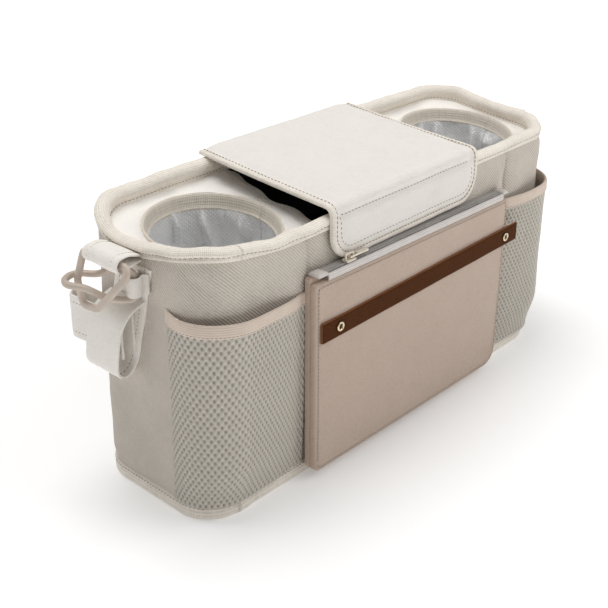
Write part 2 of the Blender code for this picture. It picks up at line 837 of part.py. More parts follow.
def lid():
    inset = LID_BINDING_WIDTH + GAP
    faces = []
    for out in (LID_THICKNESS / 2, -LID_THICKNESS / 2):
        grid = []
        for run in lid_runs(inset):
            half = lid_half_width(run, inset)
            grid.append([lid_point(half * t, run, out) for t in (-1, -0.5, 0, 0.5, 1)])
        faces.append(grid)
    strip_solid("flap_lid", faces[0], faces[1], "linen", origin=LID_AXIS)


def lid_edge(inset):
    """The lid's three free edges, from the back left to the back right."""
    left = [(-lid_half_width(run, inset), run) for run in lid_runs(inset)]
    right = [(-x, run) for x, run in reversed(left)]
    return left + right


def lid_binding():
    faces = []
    half = LID_THICKNESS / 2 + LID_BINDING_EXTRA
    for out in (half, -half):
        grid = []
        for one, two in zip(lid_edge(0.0), lid_edge(LID_BINDING_WIDTH)):
            grid.append([lid_point(one[0], one[1], out), lid_point(two[0], two[1], out)])
        faces.append(grid)
    strip_solid("flap_binding", faces[0], faces[1], "binding", origin=LID_AXIS)


def box_solid(name, low, high, key, origin=(0.0, 0.0, 0.0)):
    sections = []
    for x in (low[0], high[0]):
        lower = [(x, low[1], low[2]), (x, high[1], low[2])]
        sections.append(lower + [(x, high[1], high[2]), (x, low[1], high[2])])
    return swept_solid(name, sections, key, origin=origin)


def lid_root():
    """Strip that sews the lid to the outside of the back rim."""
    half = LID_WIDTH / 2 - LID_BINDING_WIDTH
    near = HALF_WIDTH + RIM_BAND_OUT + GAP
    sections = []
    for x in (-half, half):
        top = lid_under(near) - GAP * 2 + RIM_LEAN * x
        far = near + LID_ROOT_THICKNESS
        low = top - LID_ROOT_HEIGHT
        px = LID_CENTRE_X + x
        sections.append([(px, near, low), (px, far, low), (px, far, top), (px, near, top)])
    swept_solid("flap_root", sections, "linen")


def closure_tapes():
    """Hook and loop tapes that hold the lid shut against the front wall."""
    high = TAPE_LOW_Z + TAPE_HEIGHT
    wall = max(half_sizes(TAPE_LOW_Z)[1], half_sizes(high)[1])
    loop_far = wall + GAP + TAPE_THICKNESS
    lid_near = -LID_FRONT_Y - LID_THICKNESS / 2 - GAP
    left = LID_CENTRE_X - TAPE_LENGTH / 2
    right = LID_CENTRE_X + TAPE_LENGTH / 2
    box_solid("panel_loop_tape", (left, -loop_far, TAPE_LOW_Z), (right, -wall - GAP, high), "hook_tape")
    low_corner = (left, -lid_near, TAPE_LOW_Z)
    high_corner = (right, -loop_far - GAP, high)
    box_solid("flap_hook_tape", low_corner, high_corner, "hook_tape", LID_AXIS)


# Mesh pockets

def pocket_frame(side_name):
    """Stations of a side pocket from the end of the caddy to the front seam."""
    front = POCKET_FRONT_X[side_name]
    marks = stations(end_station(POCKET_END_Y), 8 + front_station(-front - POCKET_SEAM))
    middles = []
    for one, two in zip(marks, marks[1:]):
        middles += [one, (one + two) / 2]
    return middles + [marks[-1], 8 + front_station(-front)]


def pocket_point(side, s, t, z, out):
    loose = POCKET_BULGE * math.sin(math.pi * t) ** POCKET_FULLNESS
    x, y = outline_point(s, z, -GAP - loose - out)
    return (-side * x, y, z)


def pocket_share(marks):
    """Share of the loose width at each station: 0 at one sewn edge and 1 at the other."""
    runs = [0.0]
    for one, two in zip(marks, marks[1:-1]):
        runs.append(runs[-1] + math.dist(outline_point(one, 0.0), outline_point(two, 0.0)))
    return [run / runs[-1] for run in runs] + [1.0]


def mesh_pocket(side_name):
    """The mesh of a side pocket and the elastic band along its top."""
    side = SIDES[side_name]
    marks = pocket_frame(side_name)
    shares = pocket_share(marks)
    for name, key in (("mesh_pocket_", "mesh"), ("pocket_elastic_", "elastic")):
        faces = []
        for out in (POCKET_THICKNESS, 0.0):
            grid = []
            for s, t in zip(marks, shares):
                top = mix(POCKET_TOP_END_Z, POCKET_TOP_SEAM_Z, t)
                if name == "mesh_pocket_":
                    low, high, count = POCKET_LOW_Z, top - ELASTIC_HEIGHT - GAP, LEVELS
                else:
                    low, high, count = top - ELASTIC_HEIGHT, top, 1
                heights = [mix(low, high, k / count) for k in range(count + 1)]
                grid.append([pocket_point(side, s, t, z, out) for z in heights])
            faces.append(grid)
        strip_solid(name + side_name, faces[0], faces[1], key)


# Zipped pouch

def pouch():
    left = POUCH_CENTRE_X - POUCH_WIDTH / 2
    right = POUCH_CENTRE_X + POUCH_WIDTH / 2
    low = POUCH_LOW_Z
    radii = (POUCH_CORNER, POUCH_CORNER_RIGHT, POUCH_CORNER_TOP, POUCH_CORNER_TOP)
    front = [(left, low), (right, low), (right, POUCH_TOP_Z), (left, POUCH_TOP_Z)]
    far = POUCH_SPLIT_Y - GAP / 2
    plate_solid("pouch_front", [rounded_outline(front, radii)], POUCH_FRONT_Y, far, "pouch")
    top = ZIP_TOP_Z - ZIP_TAPE_THICKNESS - GAP
    back = [(left, low), (right, low), (right, top), (left, top)]
    plate_solid("pouch_back", [rounded_outline(back, radii)], POUCH_SPLIT_Y + GAP, POUCH_BACK_Y, "pouch")


TEETH_CENTRE_Y = POUCH_FRONT_Y + ZIP_TAPE_THICKNESS + ZIP_TAPE_SLANT + GAP + TEETH_WIDTH / 2
TEETH_LOW_Z = ZIP_TOP_Z + TEETH_RISE - TEETH_HEIGHT


def zipper():
    """Zip tapes, the row of teeth between them and the tabs at both ends."""
    low = POUCH_TOP_Z + GAP
    upper_y = POUCH_FRONT_Y + ZIP_TAPE_SLANT
    front_section = [
        (POUCH_FRONT_Y, low),
        (upper_y, ZIP_TOP_Z),
        (upper_y + ZIP_TAPE_THICKNESS, ZIP_TOP_Z),
        (POUCH_FRONT_Y + ZIP_TAPE_THICKNESS, low),
    ]
    sections = [[(x, y, z) for y, z in front_section] for x in (ZIP_LEFT_X, ZIP_RIGHT_X)]
    swept_solid("zip_tape_front", sections, "zip_tape")
    back_low = ZIP_TOP_Z - ZIP_TAPE_THICKNESS
    teeth_far = TEETH_CENTRE_Y + TEETH_WIDTH / 2 + GAP
    high_corner = (ZIP_RIGHT_X, POUCH_BACK_Y, ZIP_TOP_Z)
    box_solid("zip_tape_back", (ZIP_LEFT_X, teeth_far, back_low), high_corner, "zip_tape")

    count = int((ZIP_RIGHT_X - ZIP_LEFT_X) / TEETH_PITCH)
    start = (ZIP_LEFT_X + ZIP_RIGHT_X - count * TEETH_PITCH) / 2
    sections = []
    for k in range(count):
        for part, rise in TOOTH_SHAPE:
            x = start + (k + part) * TEETH_PITCH
            top = ZIP_TOP_Z + rise * TEETH_RISE
            near = TEETH_CENTRE_Y - TEETH_WIDTH / 2
            far = TEETH_CENTRE_Y + TEETH_WIDTH / 2
            lower = [(x, near, TEETH_LOW_Z), (x, far, TEETH_LOW_Z)]
            sections.append(lower + [(x, far, top), (x, near, top)])
    swept_solid("zip_teeth", sections, "zip_teeth")

    end_top = ZIP_TOP_Z + ZIP_TAPE_THICKNESS
    for side_name, side in SIDES.items():
        one = (ZIP_LEFT_X if side < 0 else ZIP_RIGHT_X) + side * GAP
        two = one + side * ZIP_END_LENGTH[side_name]
        low_corner = (min(one, two), upper_y, back_low)
        high_corner = (max(one, two), POUCH_BACK_Y, end_top)
        box_solid("zip_end_" + side_name, low_corner, high_corner, "zip_tape")


SLIDER_LOW_Z = ZIP_TOP_Z + TEETH_RISE + SLIDER_CLEARANCE
PULL_AXIS = (SLIDER_X, TEETH_CENTRE_Y, SLIDER_LOW_Z + SLIDER_THICKNESS + PULL_RISE)


def zip_slider():
    """Slider plate with a bridge over it, as one outline across the teeth."""
    half = SLIDER_LENGTH / 2
    low = SLIDER_LOW_Z
    plate_top = low + SLIDER_THICKNESS
    foot = half - BRIDGE_INSET
    top = plate_top + BRIDGE_HEIGHT
    inner = foot - BRIDGE_BAR
    bm = bmesh.new()
    near = TEETH_CENTRE_Y - SLIDER_WIDTH / 2
    far = TEETH_CENTRE_Y + SLIDER_WIDTH / 2
    bridge_near = TEETH_CENTRE_Y - BRIDGE_WIDTH / 2
    bridge_far = TEETH_CENTRE_Y + BRIDGE_WIDTH / 2
    columns = [-half, -foot, -inner, inner, foot, half]
    rows = [near, bridge_near, bridge_far, far]
    solid = {}
    for i in range(5):
        for j in range(3):
            solid[(i, j, 0)] = True
    solid[(1, 1, 1)] = True
    solid[(3, 1, 1)] = True
    for i in (1, 2, 3):
        solid[(i, 1, 2)] = True
    levels = [low, plate_top, top - BRIDGE_BAR, top]
    verts = {}

    def corner(i, j, k):
        if (i, j, k) not in verts:
            verts[(i, j, k)] = bm.verts.new((SLIDER_X + columns[i], rows[j], levels[k]))
        return verts[(i, j, k)]

    for i, j, k in solid:
        sides = (
            ((i - 1, j, k), ((i, j, k), (i, j, k + 1), (i, j + 1, k + 1), (i, j + 1, k))),
            ((i + 1, j, k), ((i + 1, j, k), (i + 1, j + 1, k), (i + 1, j + 1, k + 1), (i + 1, j, k + 1))),
            ((i, j - 1, k), ((i, j, k), (i + 1, j, k), (i + 1, j, k + 1), (i, j, k + 1))),
            ((i, j + 1, k), ((i, j + 1, k), (i, j + 1, k + 1), (i + 1, j + 1, k + 1), (i + 1, j + 1, k))),
            ((i, j, k - 1), ((i, j, k), (i, j + 1, k), (i + 1, j + 1, k), (i + 1, j, k))),
            ((i, j, k + 1), ((i, j, k + 1), (i + 1, j, k + 1), (i + 1, j + 1, k + 1), (i, j + 1, k + 1))),
        )
        for neighbour, loop in sides:
            if neighbour not in solid:
                bm.faces.new([corner(*place) for place in loop])
    finish_object("zip_slider", bm, "zip_metal", (SLIDER_X, TEETH_CENTRE_Y, low))


def zip_pull():
    x, y, z = PULL_AXIS
    half = PULL_WIDTH / 2
    bar = PULL_ARM / 2
    outer = rounded_outline(
        [(x - bar, -half), (x + PULL_LENGTH, -half), (x + PULL_LENGTH, half), (x - bar, half)],
        (PULL_CORNER_INNER, PULL_CORNER_OUTER, PULL_CORNER_OUTER, PULL_CORNER_INNER))
    hole_half = half - PULL_ARM
    slot = x + PULL_SLOT
    hole = [(x + bar, -hole_half), (slot, -hole_half), (slot, hole_half), (x + bar, hole_half)]
    made = plate_solid("zip_pull", [outer, hole], -bar, bar, "zip_metal")
    for vertex in made.data.vertices:
        px, py, pz = vertex.co
        vertex.co = (px - x, -pz, py)
    made.location = PULL_AXIS


def strip_low(x):
    t = (x - STRIP_LEFT_X) / (STRIP_RIGHT_X - STRIP_LEFT_X)
    return STRIP_LOW_Z + STRIP_RISE * t


def leather_strip():
    ends = [(STRIP_LEFT_X, strip_low(STRIP_LEFT_X)), (STRIP_RIGHT_X, strip_low(STRIP_RIGHT_X))]
    corners = ends + [(x, z + STRIP_HEIGHT) for x, z in reversed(ends)]
    loops = [rounded_outline(corners, [STRIP_CORNER] * len(corners))]
    back = POUCH_FRONT_Y - GAP
    front = back - STRIP_THICKNESS
    for side_name, x in (("left", EYELET_LEFT_X), ("right", EYELET_RIGHT_X)):
        z = strip_low(x) + STRIP_HEIGHT / 2
        loops.append(circle(x, z, EYELET_BARREL + GAP))
        eyelet(side_name, x, z, back, front)
    plate_solid("leather_strip", loops, front, back, "leather")


def eyelet(side_name, x, z, back, front):
    face = front - GAP
    profile = [
        (EYELET_HOLE, back),
        (EYELET_BARREL, back),
        (EYELET_BARREL, face),
        (EYELET_RADIUS, face),
        (EYELET_RADIUS - EYELET_EASE, face - EYELET_FLANGE + EYELET_EASE),
        ((EYELET_RADIUS + EYELET_HOLE) / 2, face - EYELET_FLANGE),
        (EYELET_HOLE, face - EYELET_FLANGE + EYELET_EASE),
    ]
    turned_solid("eyelet_" + side_name, profile, lambda u, v, h: (x + u, h, z + v), "brass")


def pouch_hangers():
    """Leather tabs that hold the pouch to the front wall, one behind each of its sides."""
    high = HANGER_LOW_Z + HANGER_HEIGHT
    far = POUCH_BACK_Y + GAP
    near = far + HANGER_THICKNESS
    left = POUCH_CENTRE_X - POUCH_WIDTH / 2 + HANGER_INSET
    right = POUCH_CENTRE_X + POUCH_WIDTH / 2 - HANGER_INSET
    box_solid("pouch_hanger_left", (left, far, HANGER_LOW_Z), (left + HANGER_LENGTH, near, high), "leather")
    low_corner = (right - HANGER_LENGTH, far, HANGER_LOW_Z)
    box_solid("pouch_hanger_right", low_corner, (right, near, high), "leather")


# Clip straps at the ends

def end_point(side, out, y, z):
    """A point off an end of the caddy: out is measured from the rim's end."""
    return (side * (HALF_LENGTH + out), y, z)


def ribbon(name, side, path, thickness, line, key):
    """Webbing that follows a path in one plane; line(point, normal, shift) gives a row."""
    left = []
    right = []
    for k, here in enumerate(path):
        before = path[max(k - 1, 0)]
        after = path[min(k + 1, len(path) - 1)]
        step = math.dist(before, after)
        normal = (-(after[1] - before[1]) / step, (after[0] - before[0]) / step)
        for face, shift in ((left, thickness / 2), (right, -thickness / 2)):
            moved = (here[0] + normal[0] * shift, here[1] + normal[1] * shift)
            face.append([end_point(side, *point) for point in line(here, moved)])
    strip_solid(name, left, right, key)


def end_out(side, y, z):
    """How far the end stands out at a height, with the rim band counted."""
    band_low = rim_top(side * HALF_LENGTH, y) - RIM_BAND_HEIGHT - GAP
    if z > band_low:
        return RIM_BAND_OUT
    return half_sizes(z)[0] - HALF_LENGTH


def strap_tab(side_name):
    """Webbing tab that runs from under the rim, round the ring's bar and back."""
    eye = RING_HALF_WIDTH + GAP * 4 + WEBBING / 2
    top_z = BAR_Z - TAB_DROP
    edges = [TAB_WALL_Y + end * TAB_WIDTH / 2 for end in (-1, 0, 1)]
    furthest = max(end_out(SIDES[side_name], y, top_z) for y in edges)
    wall = furthest + GAP + WEBBING / 2
    knee = mix(wall, BAR_OUT, TAB_KNEE)
    path = [(wall, top_z), (knee, BAR_Z + eye * TAB_KNEE_RISE)]
    for k in range(WRAP_STEPS + 1):
        angle = math.radians(mix(TAB_WRAP, -TAB_WRAP, k / WRAP_STEPS))
        path.append((BAR_OUT + eye * math.cos(angle), BAR_Z + eye * math.sin(angle)))
    path.append((knee, BAR_Z - eye * TAB_KNEE_FALL))
    path.append((wall, top_z - WEBBING * TAB_ROOT_STEP))

    def line(here, moved):
        share = min(max((here[0] - wall) / (BAR_OUT - wall), 0.0), 1.0)
        centre = mix(TAB_WALL_Y, TAB_BAR_Y, share)
        width = mix(TAB_WIDTH, TAB_BAR_WIDTH, share)
        return [(moved[0], centre + end * width / 2, moved[1]) for end in (-1, 0, 1)]

    ribbon("strap_tab_" + side_name, SIDES[side_name], path, WEBBING, line, "webbing")


def ring_path():
    corners = [
        (RING_TOP_BACK, 0.0),
        (RING_LEG_Y, -RING_LEG_DROP),
        (RING_FOOT_BACK_Y, -RING_FOOT_DROP),
        (RING_FOOT_FRONT_Y, -RING_FOOT_DROP + RING_FOOT_RISE),
        (-RING_TOP_FRONT, -RING_FRONT_DROP),
        (-RING_TOP_FRONT, 0.0),
    ]
    feet = (RING_FILLET, RING_FILLET, RING_FILLET)
    fillets = (RING_BACK_FILLET, *feet, RING_FRONT_FILLET, RING_FRONT_FILLET)
    return rounded_outline(corners, fillets, 3)


def bar_section(half_width, half_depth):
    """Outline of a flat moulded bar with eased edges."""
    ease = min(half_width, half_depth) * BAR_EASE
    return [
        (half_width, half_depth - ease), (half_width - ease, half_depth),
        (-half_width + ease, half_depth), (-half_width, half_depth - ease),
        (-half_width, -half_depth + ease), (-half_width + ease, -half_depth),
        (half_width - ease, -half_depth), (half_width, -half_depth + ease),
    ]


def swept_ring(name, path, centre, half_width, half_depth, key, origin):
    """A moulded ring: a flat bar carried round a closed path in space."""
    sections = []
    count = len(path)
    for k in range(count):
        here = Vector(path[k])
        along = (Vector(path[(k + 1) % count]) - Vector(path[k - 1])).normalized()
        spoke = here - Vector(centre)
        across = (spoke - along * spoke.dot(along)).normalized()
        depth = along.cross(across)
        bar = bar_section(half_width, half_depth)
        sections.append([tuple(here + across * u + depth * v) for u, v in bar])
    swept_solid(name, sections, key, closed=True, origin=origin)


def ring_place(y, drop):
    """Where a point of the ring lies: out, y and z, with the ring hanging off its bar."""
    tilt = math.radians(RING_TILT)
    return (BAR_OUT - drop * math.sin(tilt), y, BAR_Z + drop * math.cos(tilt))


def d_ring(side_name):
    side = SIDES[side_name]
    points = ring_path()
    path = [end_point(side, *ring_place(*point)) for point in points]
    middle_drop = -RING_FOOT_DROP / 2
    centre = end_point(side, *ring_place(0.0, middle_drop))
    axis = end_point(side, BAR_OUT, 0.0, BAR_Z)
    swept_ring("d_ring_" + side_name, path, centre, RING_HALF_WIDTH, RING_HALF_DEPTH, "plastic", axis)


def snap_hook(side_name):
    """Clip whose eye stands upright and whose nose lies flat round the ring's rear leg."""
    side = SIDES[side_name]
    leg = Vector(ring_place(RING_LEG_Y, -RING_LEG_DROP))
    eye = Vector((HOOK_EYE_OUT, HOOK_EYE_Y, HOOK_EYE_Z))
    along = (leg - eye).normalized()
    nose = leg + along * HOOK_PAST_LEG
    level = Vector((0.0, 0.0, 1.0)).cross(along).normalized()
    upright = along.cross(level)
    length = (nose - eye).length
    wide = HOOK_HALF_WIDTH
    corners = [(0.0, -wide), (length, -wide), (length, wide), (0.0, wide)]
    radii = (HOOK_EYE_FILLET, HOOK_NOSE_FILLET, HOOK_NOSE_FILLET, HOOK_EYE_FILLET)
    path = []
    for reach, width in divided(rounded_outline(corners, radii), HOOK_STEP):
        twist = math.radians(90) * (1 - smooth_step(reach / (length * HOOK_TWIST_SHARE)))
        sideways = level * math.cos(twist) + upright * math.sin(twist)
        path.append(end_point(side, *(eye + along * reach + sideways * width)))
    middle = end_point(side, *((eye + nose) / 2))
    origin = end_point(side, *leg)
    swept_ring("snap_hook_" + side_name, path, middle, HOOK_BAR_HALF, HOOK_BAR_HALF, "plastic", origin)


def hook_tab(side_name):
    """Webbing tab on the hanging loop's inner limb, run round the eye of the snap hook."""
    eye = HOOK_BAR_HALF * math.sqrt(2) + GAP * 2 + WEBBING / 2
    root = loop_inner(HOOK_EYE_Z)[0] + LOOP_THICKNESS / 2 + GAP + WEBBING / 2
    neck = root + HOOK_TAB_NECK_OUT
    path = [(root, HOOK_EYE_Y - HOOK_TAB_ROOT), (neck, HOOK_EYE_Y - HOOK_TAB_NECK)]
    for k in range(WRAP_STEPS + 1):
        angle = math.radians(mix(-HOOK_TAB_WRAP, HOOK_TAB_WRAP, k / WRAP_STEPS))
        path.append((HOOK_EYE_OUT + eye * math.cos(angle), HOOK_EYE_Y + eye * math.sin(angle)))
    path.append((neck, HOOK_EYE_Y + HOOK_TAB_NECK))
    path.append((root, HOOK_EYE_Y + HOOK_TAB_ROOT))

    def line(here, moved):
        return [(*moved, HOOK_EYE_Z + end * HOOK_TAB_HEIGHT / 2) for end in (-1, 1)]

    ribbon("hook_tab_" + side_name, SIDES[side_name], path, WEBBING, line, "webbing")


def loop_inner(z):
    """A point of the hanging loop's inner limb, which lies against the end."""
    return (half_sizes(z)[0] - HALF_LENGTH + GAP + LOOP_THICKNESS / 2, z)


def strap_loop(side_name):
    """Webbing loop that hangs from under the rim, its outer end sewn back to the inner."""
    path = [loop_inner(mix(LOOP_TOP_Z, LOOP_LOW_Z + LOOP_FOLD, k / 3)) for k in range(4)]
    middle = (path[-1][0] + LOOP_OUTER_OUT) / 2
    half = (LOOP_OUTER_OUT - path[-1][0]) / 2
    for k in range(1, WRAP_STEPS):
        angle = math.radians(180 + 180 * k / WRAP_STEPS)
        z = LOOP_LOW_Z + LOOP_FOLD * (1 + math.sin(angle))
        path.append((middle + half * math.cos(angle), z))
    join_out = loop_inner(LOOP_JOIN_Z)[0] + LOOP_THICKNESS + GAP * 2
    for inward, down in LOOP_CURVE:
        path.append((mix(LOOP_OUTER_OUT, join_out, inward), mix(LOOP_JOIN_Z, LOOP_LOW_Z, down)))
    path.append((join_out, LOOP_JOIN_Z))

    def line(here, moved):
        centre = LOOP_TOP_Y + LOOP_LEAN * (LOOP_TOP_Z - here[1])
        return [(moved[0], centre + end * LOOP_WIDTH / 2, moved[1]) for end in (-1, 0, 1)]

    ribbon("strap_loop_" + side_name, SIDES[side_name], path, LOOP_THICKNESS, line, "webbing")


def strap_tail(side_name):
    """Spare webbing folded on edge through the hanging loop, its fold to the rear."""
    middle = (TAIL_INNER_OUT + TAIL_OUTER_OUT) / 2
    half = (TAIL_OUTER_OUT - TAIL_INNER_OUT) / 2
    straight = mix(TAIL_ROOT_Y, TAIL_FOLD_Y, TAIL_STRAIGHT)
    path = [(TAIL_INNER_OUT, TAIL_ROOT_Y), (TAIL_INNER_OUT, straight)]
    for k in range(1, WRAP_STEPS):
        angle = math.radians(180 - 180 * k / WRAP_STEPS)
        y = TAIL_FOLD_Y - TAIL_FOLD * (1 - math.sin(angle))
        path.append((middle + half * TAIL_BULB * math.cos(angle), y))
    path.append((TAIL_OUTER_OUT, straight))
    path.append((TAIL_OUTER_OUT, TAIL_ROOT_Y))

    def line(here, moved):
        return [(*moved, TAIL_LOW_Z + TAIL_HEIGHT * up) for up in (0.0, 0.5, 1.0)]

    ribbon("strap_tail_" + side_name, SIDES[side_name], path, TAIL_THICKNESS, line, "webbing")


def build():
    clear_scene()
    shell_walls()
    bottom_panel()
    base_binding()
    rim_binding()
    middle_lining()
    for side_name in SIDES:
        deck(side_name)
        deck_hem(side_name)
        cup_collar(side_name)
        cup_liner(side_name)
        divider(side_name)
        mesh_pocket(side_name)
        strap_tab(side_name)
        d_ring(side_name)
        snap_hook(side_name)
        hook_tab(side_name)
        strap_loop(side_name)
        strap_tail(side_name)
    lid()
    lid_binding()
    lid_root()
    closure_tapes()
    pouch()
    zipper()
    zip_slider()
    zip_pull()
    leather_strip()
    pouch_hangers()


build()
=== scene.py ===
import math

import bmesh
import bpy
from mathutils import Matrix, Vector, noise


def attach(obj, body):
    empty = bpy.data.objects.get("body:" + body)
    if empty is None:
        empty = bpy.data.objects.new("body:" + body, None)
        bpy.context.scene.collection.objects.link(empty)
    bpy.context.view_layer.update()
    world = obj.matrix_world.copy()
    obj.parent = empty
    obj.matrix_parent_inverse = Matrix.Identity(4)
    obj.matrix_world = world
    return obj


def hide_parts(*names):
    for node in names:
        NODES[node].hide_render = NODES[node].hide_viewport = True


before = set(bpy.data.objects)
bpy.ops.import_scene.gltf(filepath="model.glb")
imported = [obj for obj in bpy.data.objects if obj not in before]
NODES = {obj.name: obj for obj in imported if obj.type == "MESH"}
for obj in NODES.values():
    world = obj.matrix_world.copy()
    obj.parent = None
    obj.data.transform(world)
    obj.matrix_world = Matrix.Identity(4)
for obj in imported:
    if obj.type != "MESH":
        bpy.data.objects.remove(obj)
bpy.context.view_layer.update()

# Sizes of the caddy, the same as in the part
RIM_LENGTH, RIM_WIDTH, RIM_CORNER = 0.380, 0.1175, 0.030
BASE_LENGTH, BASE_WIDTH, BASE_CORNER = 0.386, 0.112, 0.027
RIM_HEIGHT, RIM_SLOPE, RIM_LEAN, LEFT_END_SAG, CORNER_LIFT = 0.1955, 0.12, 0.016, 0.0105, 0.0075
WALL, WALL_BULGE, GAP = 0.005, 0.0012, 0.0003
RIM_BAND, RIM_SKIRT = 0.008, 0.012
HALF_LENGTH, HALF_WIDTH = RIM_LENGTH / 2, RIM_WIDTH / 2
DECK_DROP = 0.0115
CUP_X, CUP_Y, COLLAR_RADIUS = 0.1325, -0.0045, 0.0452
SEAM_LEFT, SEAM_RIGHT, SEAM_BACK = -0.100, 0.125, 0.112
LID_CENTRE, LID_WIDTH, LID_BACK_Y, LID_FRONT_Y = -0.0035, 0.161, 0.0622, -0.0627
LID_LOW_Z, LID_SLOPE, LID_FOLD, LID_CORNER = 0.1565, 0.08, 0.006, 0.020
LID_ROOT_HEIGHT = 0.026
STRAP_SIDES = {"left": -1, "right": 1}
LINER_TOP_RADIUS, LINER_FLOOR_RADIUS = 0.0423, 0.0388


def mix(a, b, t):
    return a + (b - a) * t


def clamp(t, low=0.0, high=1.0):
    return min(max(t, low), high)


def ease(t):
    t = clamp(t)
    return t * t * (3 - 2 * t)


def lump(point, size, seed=0.0):
    """Smooth noise from -1 to 1 whose lumps are about size metres across."""
    return noise.noise(Vector(point) / size + Vector((seed * 7.13, seed * 3.71, seed * 5.37)))


def dent(value, width):
    return math.exp(-(value / width) ** 2)


# Materials

def new_material(name, roughness, metallic=0.0, sheen=0.0, coat=0.0, specular=0.5):
    made = bpy.data.materials.new(name)
    made.use_nodes = True
    tree = made.node_tree
    shader = tree.nodes["Principled BSDF"]
    shader.inputs["Roughness"].default_value = roughness
    shader.inputs["Metallic"].default_value = metallic
    shader.inputs["Sheen Weight"].default_value = sheen
    shader.inputs["Sheen Roughness"].default_value = 0.5
    shader.inputs["Coat Weight"].default_value = coat
    shader.inputs["Specular IOR Level"].default_value = specular
    return made, tree, shader


def add_node(tree, kind, inputs=None, **props):
    made = tree.nodes.new(kind)
    for key, value in props.items():
        setattr(made, key, value)
    for key, value in (inputs or {}).items():
        if isinstance(value, bpy.types.NodeSocket):
            tree.links.new(value, made.inputs[key])
        else:
            made.inputs[key].default_value = value
    return made


def math_node(tree, operation, a, b=0.0):
    made = tree.nodes.new("ShaderNodeMath")
    made.operation = operation
    for index, value in enumerate((a, b)):
        if isinstance(value, bpy.types.NodeSocket):
            tree.links.new(value, made.inputs[index])
        else:
            made.inputs[index].default_value = value
    return made.outputs[0]


def ramp(tree, factor, stops):
    made = tree.nodes.new("ShaderNodeValToRGB")
    tree.links.new(factor, made.inputs[0])
    elements = made.color_ramp.elements
    while len(elements) < len(stops):
        elements.new(0.5)
    for element, (place, colour) in zip(elements, stops):
        element.position = place
        element.color = (*colour, 1.0)
    return made.outputs[0]


def wave(tree, vector, period, direction="X", distortion=0.0, detail=1.0, detail_scale=1.0):
    """Parallel bands whose crests lie period metres apart across the named direction."""
    per_metre = {"X": 20.0, "Y": 20.0, "Z": 20.0, "DIAGONAL": 10.0 * math.sqrt(2.0)}[direction]
    return add_node(
        tree, "ShaderNodeTexWave",
        {"Vector": vector, "Scale": 2 * math.pi / (period * per_metre), "Distortion": distortion,
         "Detail": detail, "Detail Scale": detail_scale},
        wave_type="BANDS", bands_direction=direction).outputs["Fac"]


def noise_node(tree, vector, size, detail=2.0, roughness=0.5):
    return add_node(
        tree, "ShaderNodeTexNoise",
        {"Vector": vector, "Scale": 1.0 / size, "Detail": detail, "Roughness": roughness}).outputs["Fac"]


def stretched(tree, vector, scale):
    return add_node(tree, "ShaderNodeMapping", {"Vector": vector, "Scale": scale}).outputs["Vector"]


def bump(tree, height, strength, distance, shader, under=None):
    made = tree.nodes.new("ShaderNodeBump")
    tree.links.new(height, made.inputs["Height"])
    made.inputs["Strength"].default_value = strength
    made.inputs["Distance"].default_value = distance
    if under is not None:
        tree.links.new(under, made.inputs["Normal"])
    if shader is not None:
        tree.links.new(made.outputs["Normal"], shader.inputs["Normal"])
    return made.outputs["Normal"]


def uv_vector(tree):
    return add_node(tree, "ShaderNodeTexCoord").outputs["UV"]


def object_vector(tree):
    return add_node(tree, "ShaderNodeTexCoord").outputs["Object"]


def cloth(name, light, dark, period=0.0011, twill=0.0, slub=0.5, rough=0.92, depth=0.00025):
    """Woven cloth: crossed threads or a diagonal twill, thicker threads here and there, faint soiling."""
    made, tree, shader = new_material(name, rough, sheen=0.15, specular=0.2)
    uv = uv_vector(tree)
    warp = wave(tree, uv, period, "X", 0.6, 1.0, 3.0)
    weft = wave(tree, uv, period, "Y", 0.6, 1.0, 3.0)
    weave = math_node(tree, "MULTIPLY", math_node(tree, "ADD", warp, weft), 0.5)
    if twill:
        diagonal = wave(tree, uv, twill, "DIAGONAL", 0.5, 1.0, 2.0)
        weave = math_node(tree, "ADD", math_node(tree, "MULTIPLY", diagonal, 1.0),
                          math_node(tree, "MULTIPLY", weave, 0.2))
    across = noise_node(tree, stretched(tree, uv, (0.16, 1.0, 1.0)), 0.0010, 3.0, 0.6)
    along = noise_node(tree, stretched(tree, uv, (1.0, 0.16, 1.0)), 0.0010, 3.0, 0.6)
    threads = math_node(tree, "MULTIPLY", math_node(tree, "ADD", across, along), 0.5)
    patches = noise_node(tree, uv, 0.022, 3.0, 0.55)
    factor = math_node(tree, "ADD", math_node(tree, "MULTIPLY", weave, 0.34),
                       math_node(tree, "MULTIPLY", threads, slub))
    factor = math_node(tree, "ADD", factor, math_node(tree, "MULTIPLY", patches, 0.25))
    colour = ramp(tree, factor, [(0.37, dark), (0.60, light)])
    tree.links.new(colour, shader.inputs["Base Color"])
    height = math_node(tree, "ADD", math_node(tree, "MULTIPLY", weave, 0.8), threads)
    bump(tree, height, 0.95, depth, shader)
    return made


def leather(name, light, dark, grain=0.0012, rough=0.55, depth=0.00018, specular=0.35):
    """Leather or imitation leather: a pebble grain with broad, uneven tone."""
    made, tree, shader = new_material(name, rough, specular=specular)
    vector = uv_vector(tree)
    cells = add_node(tree, "ShaderNodeTexVoronoi", {"Vector": vector, "Scale": 1.0 / grain},
                     feature="SMOOTH_F1").outputs["Distance"]
    fine = noise_node(tree, vector, grain * 0.6, 3.0, 0.6)
    broad = noise_node(tree, vector, 0.02, 3.0, 0.5)
    factor = math_node(tree, "ADD", math_node(tree, "MULTIPLY", cells, 0.45),
                       math_node(tree, "MULTIPLY", fine, 0.3))
    factor = math_node(tree, "ADD", factor, math_node(tree, "MULTIPLY", broad, 0.3))
    colour = ramp(tree, factor, [(0.2, light), (0.8, dark)])
    tree.links.new(colour, shader.inputs["Base Color"])
    height = math_node(tree, "SUBTRACT", fine, cells)
    bump(tree, height, 0.5, depth, shader)
    return made


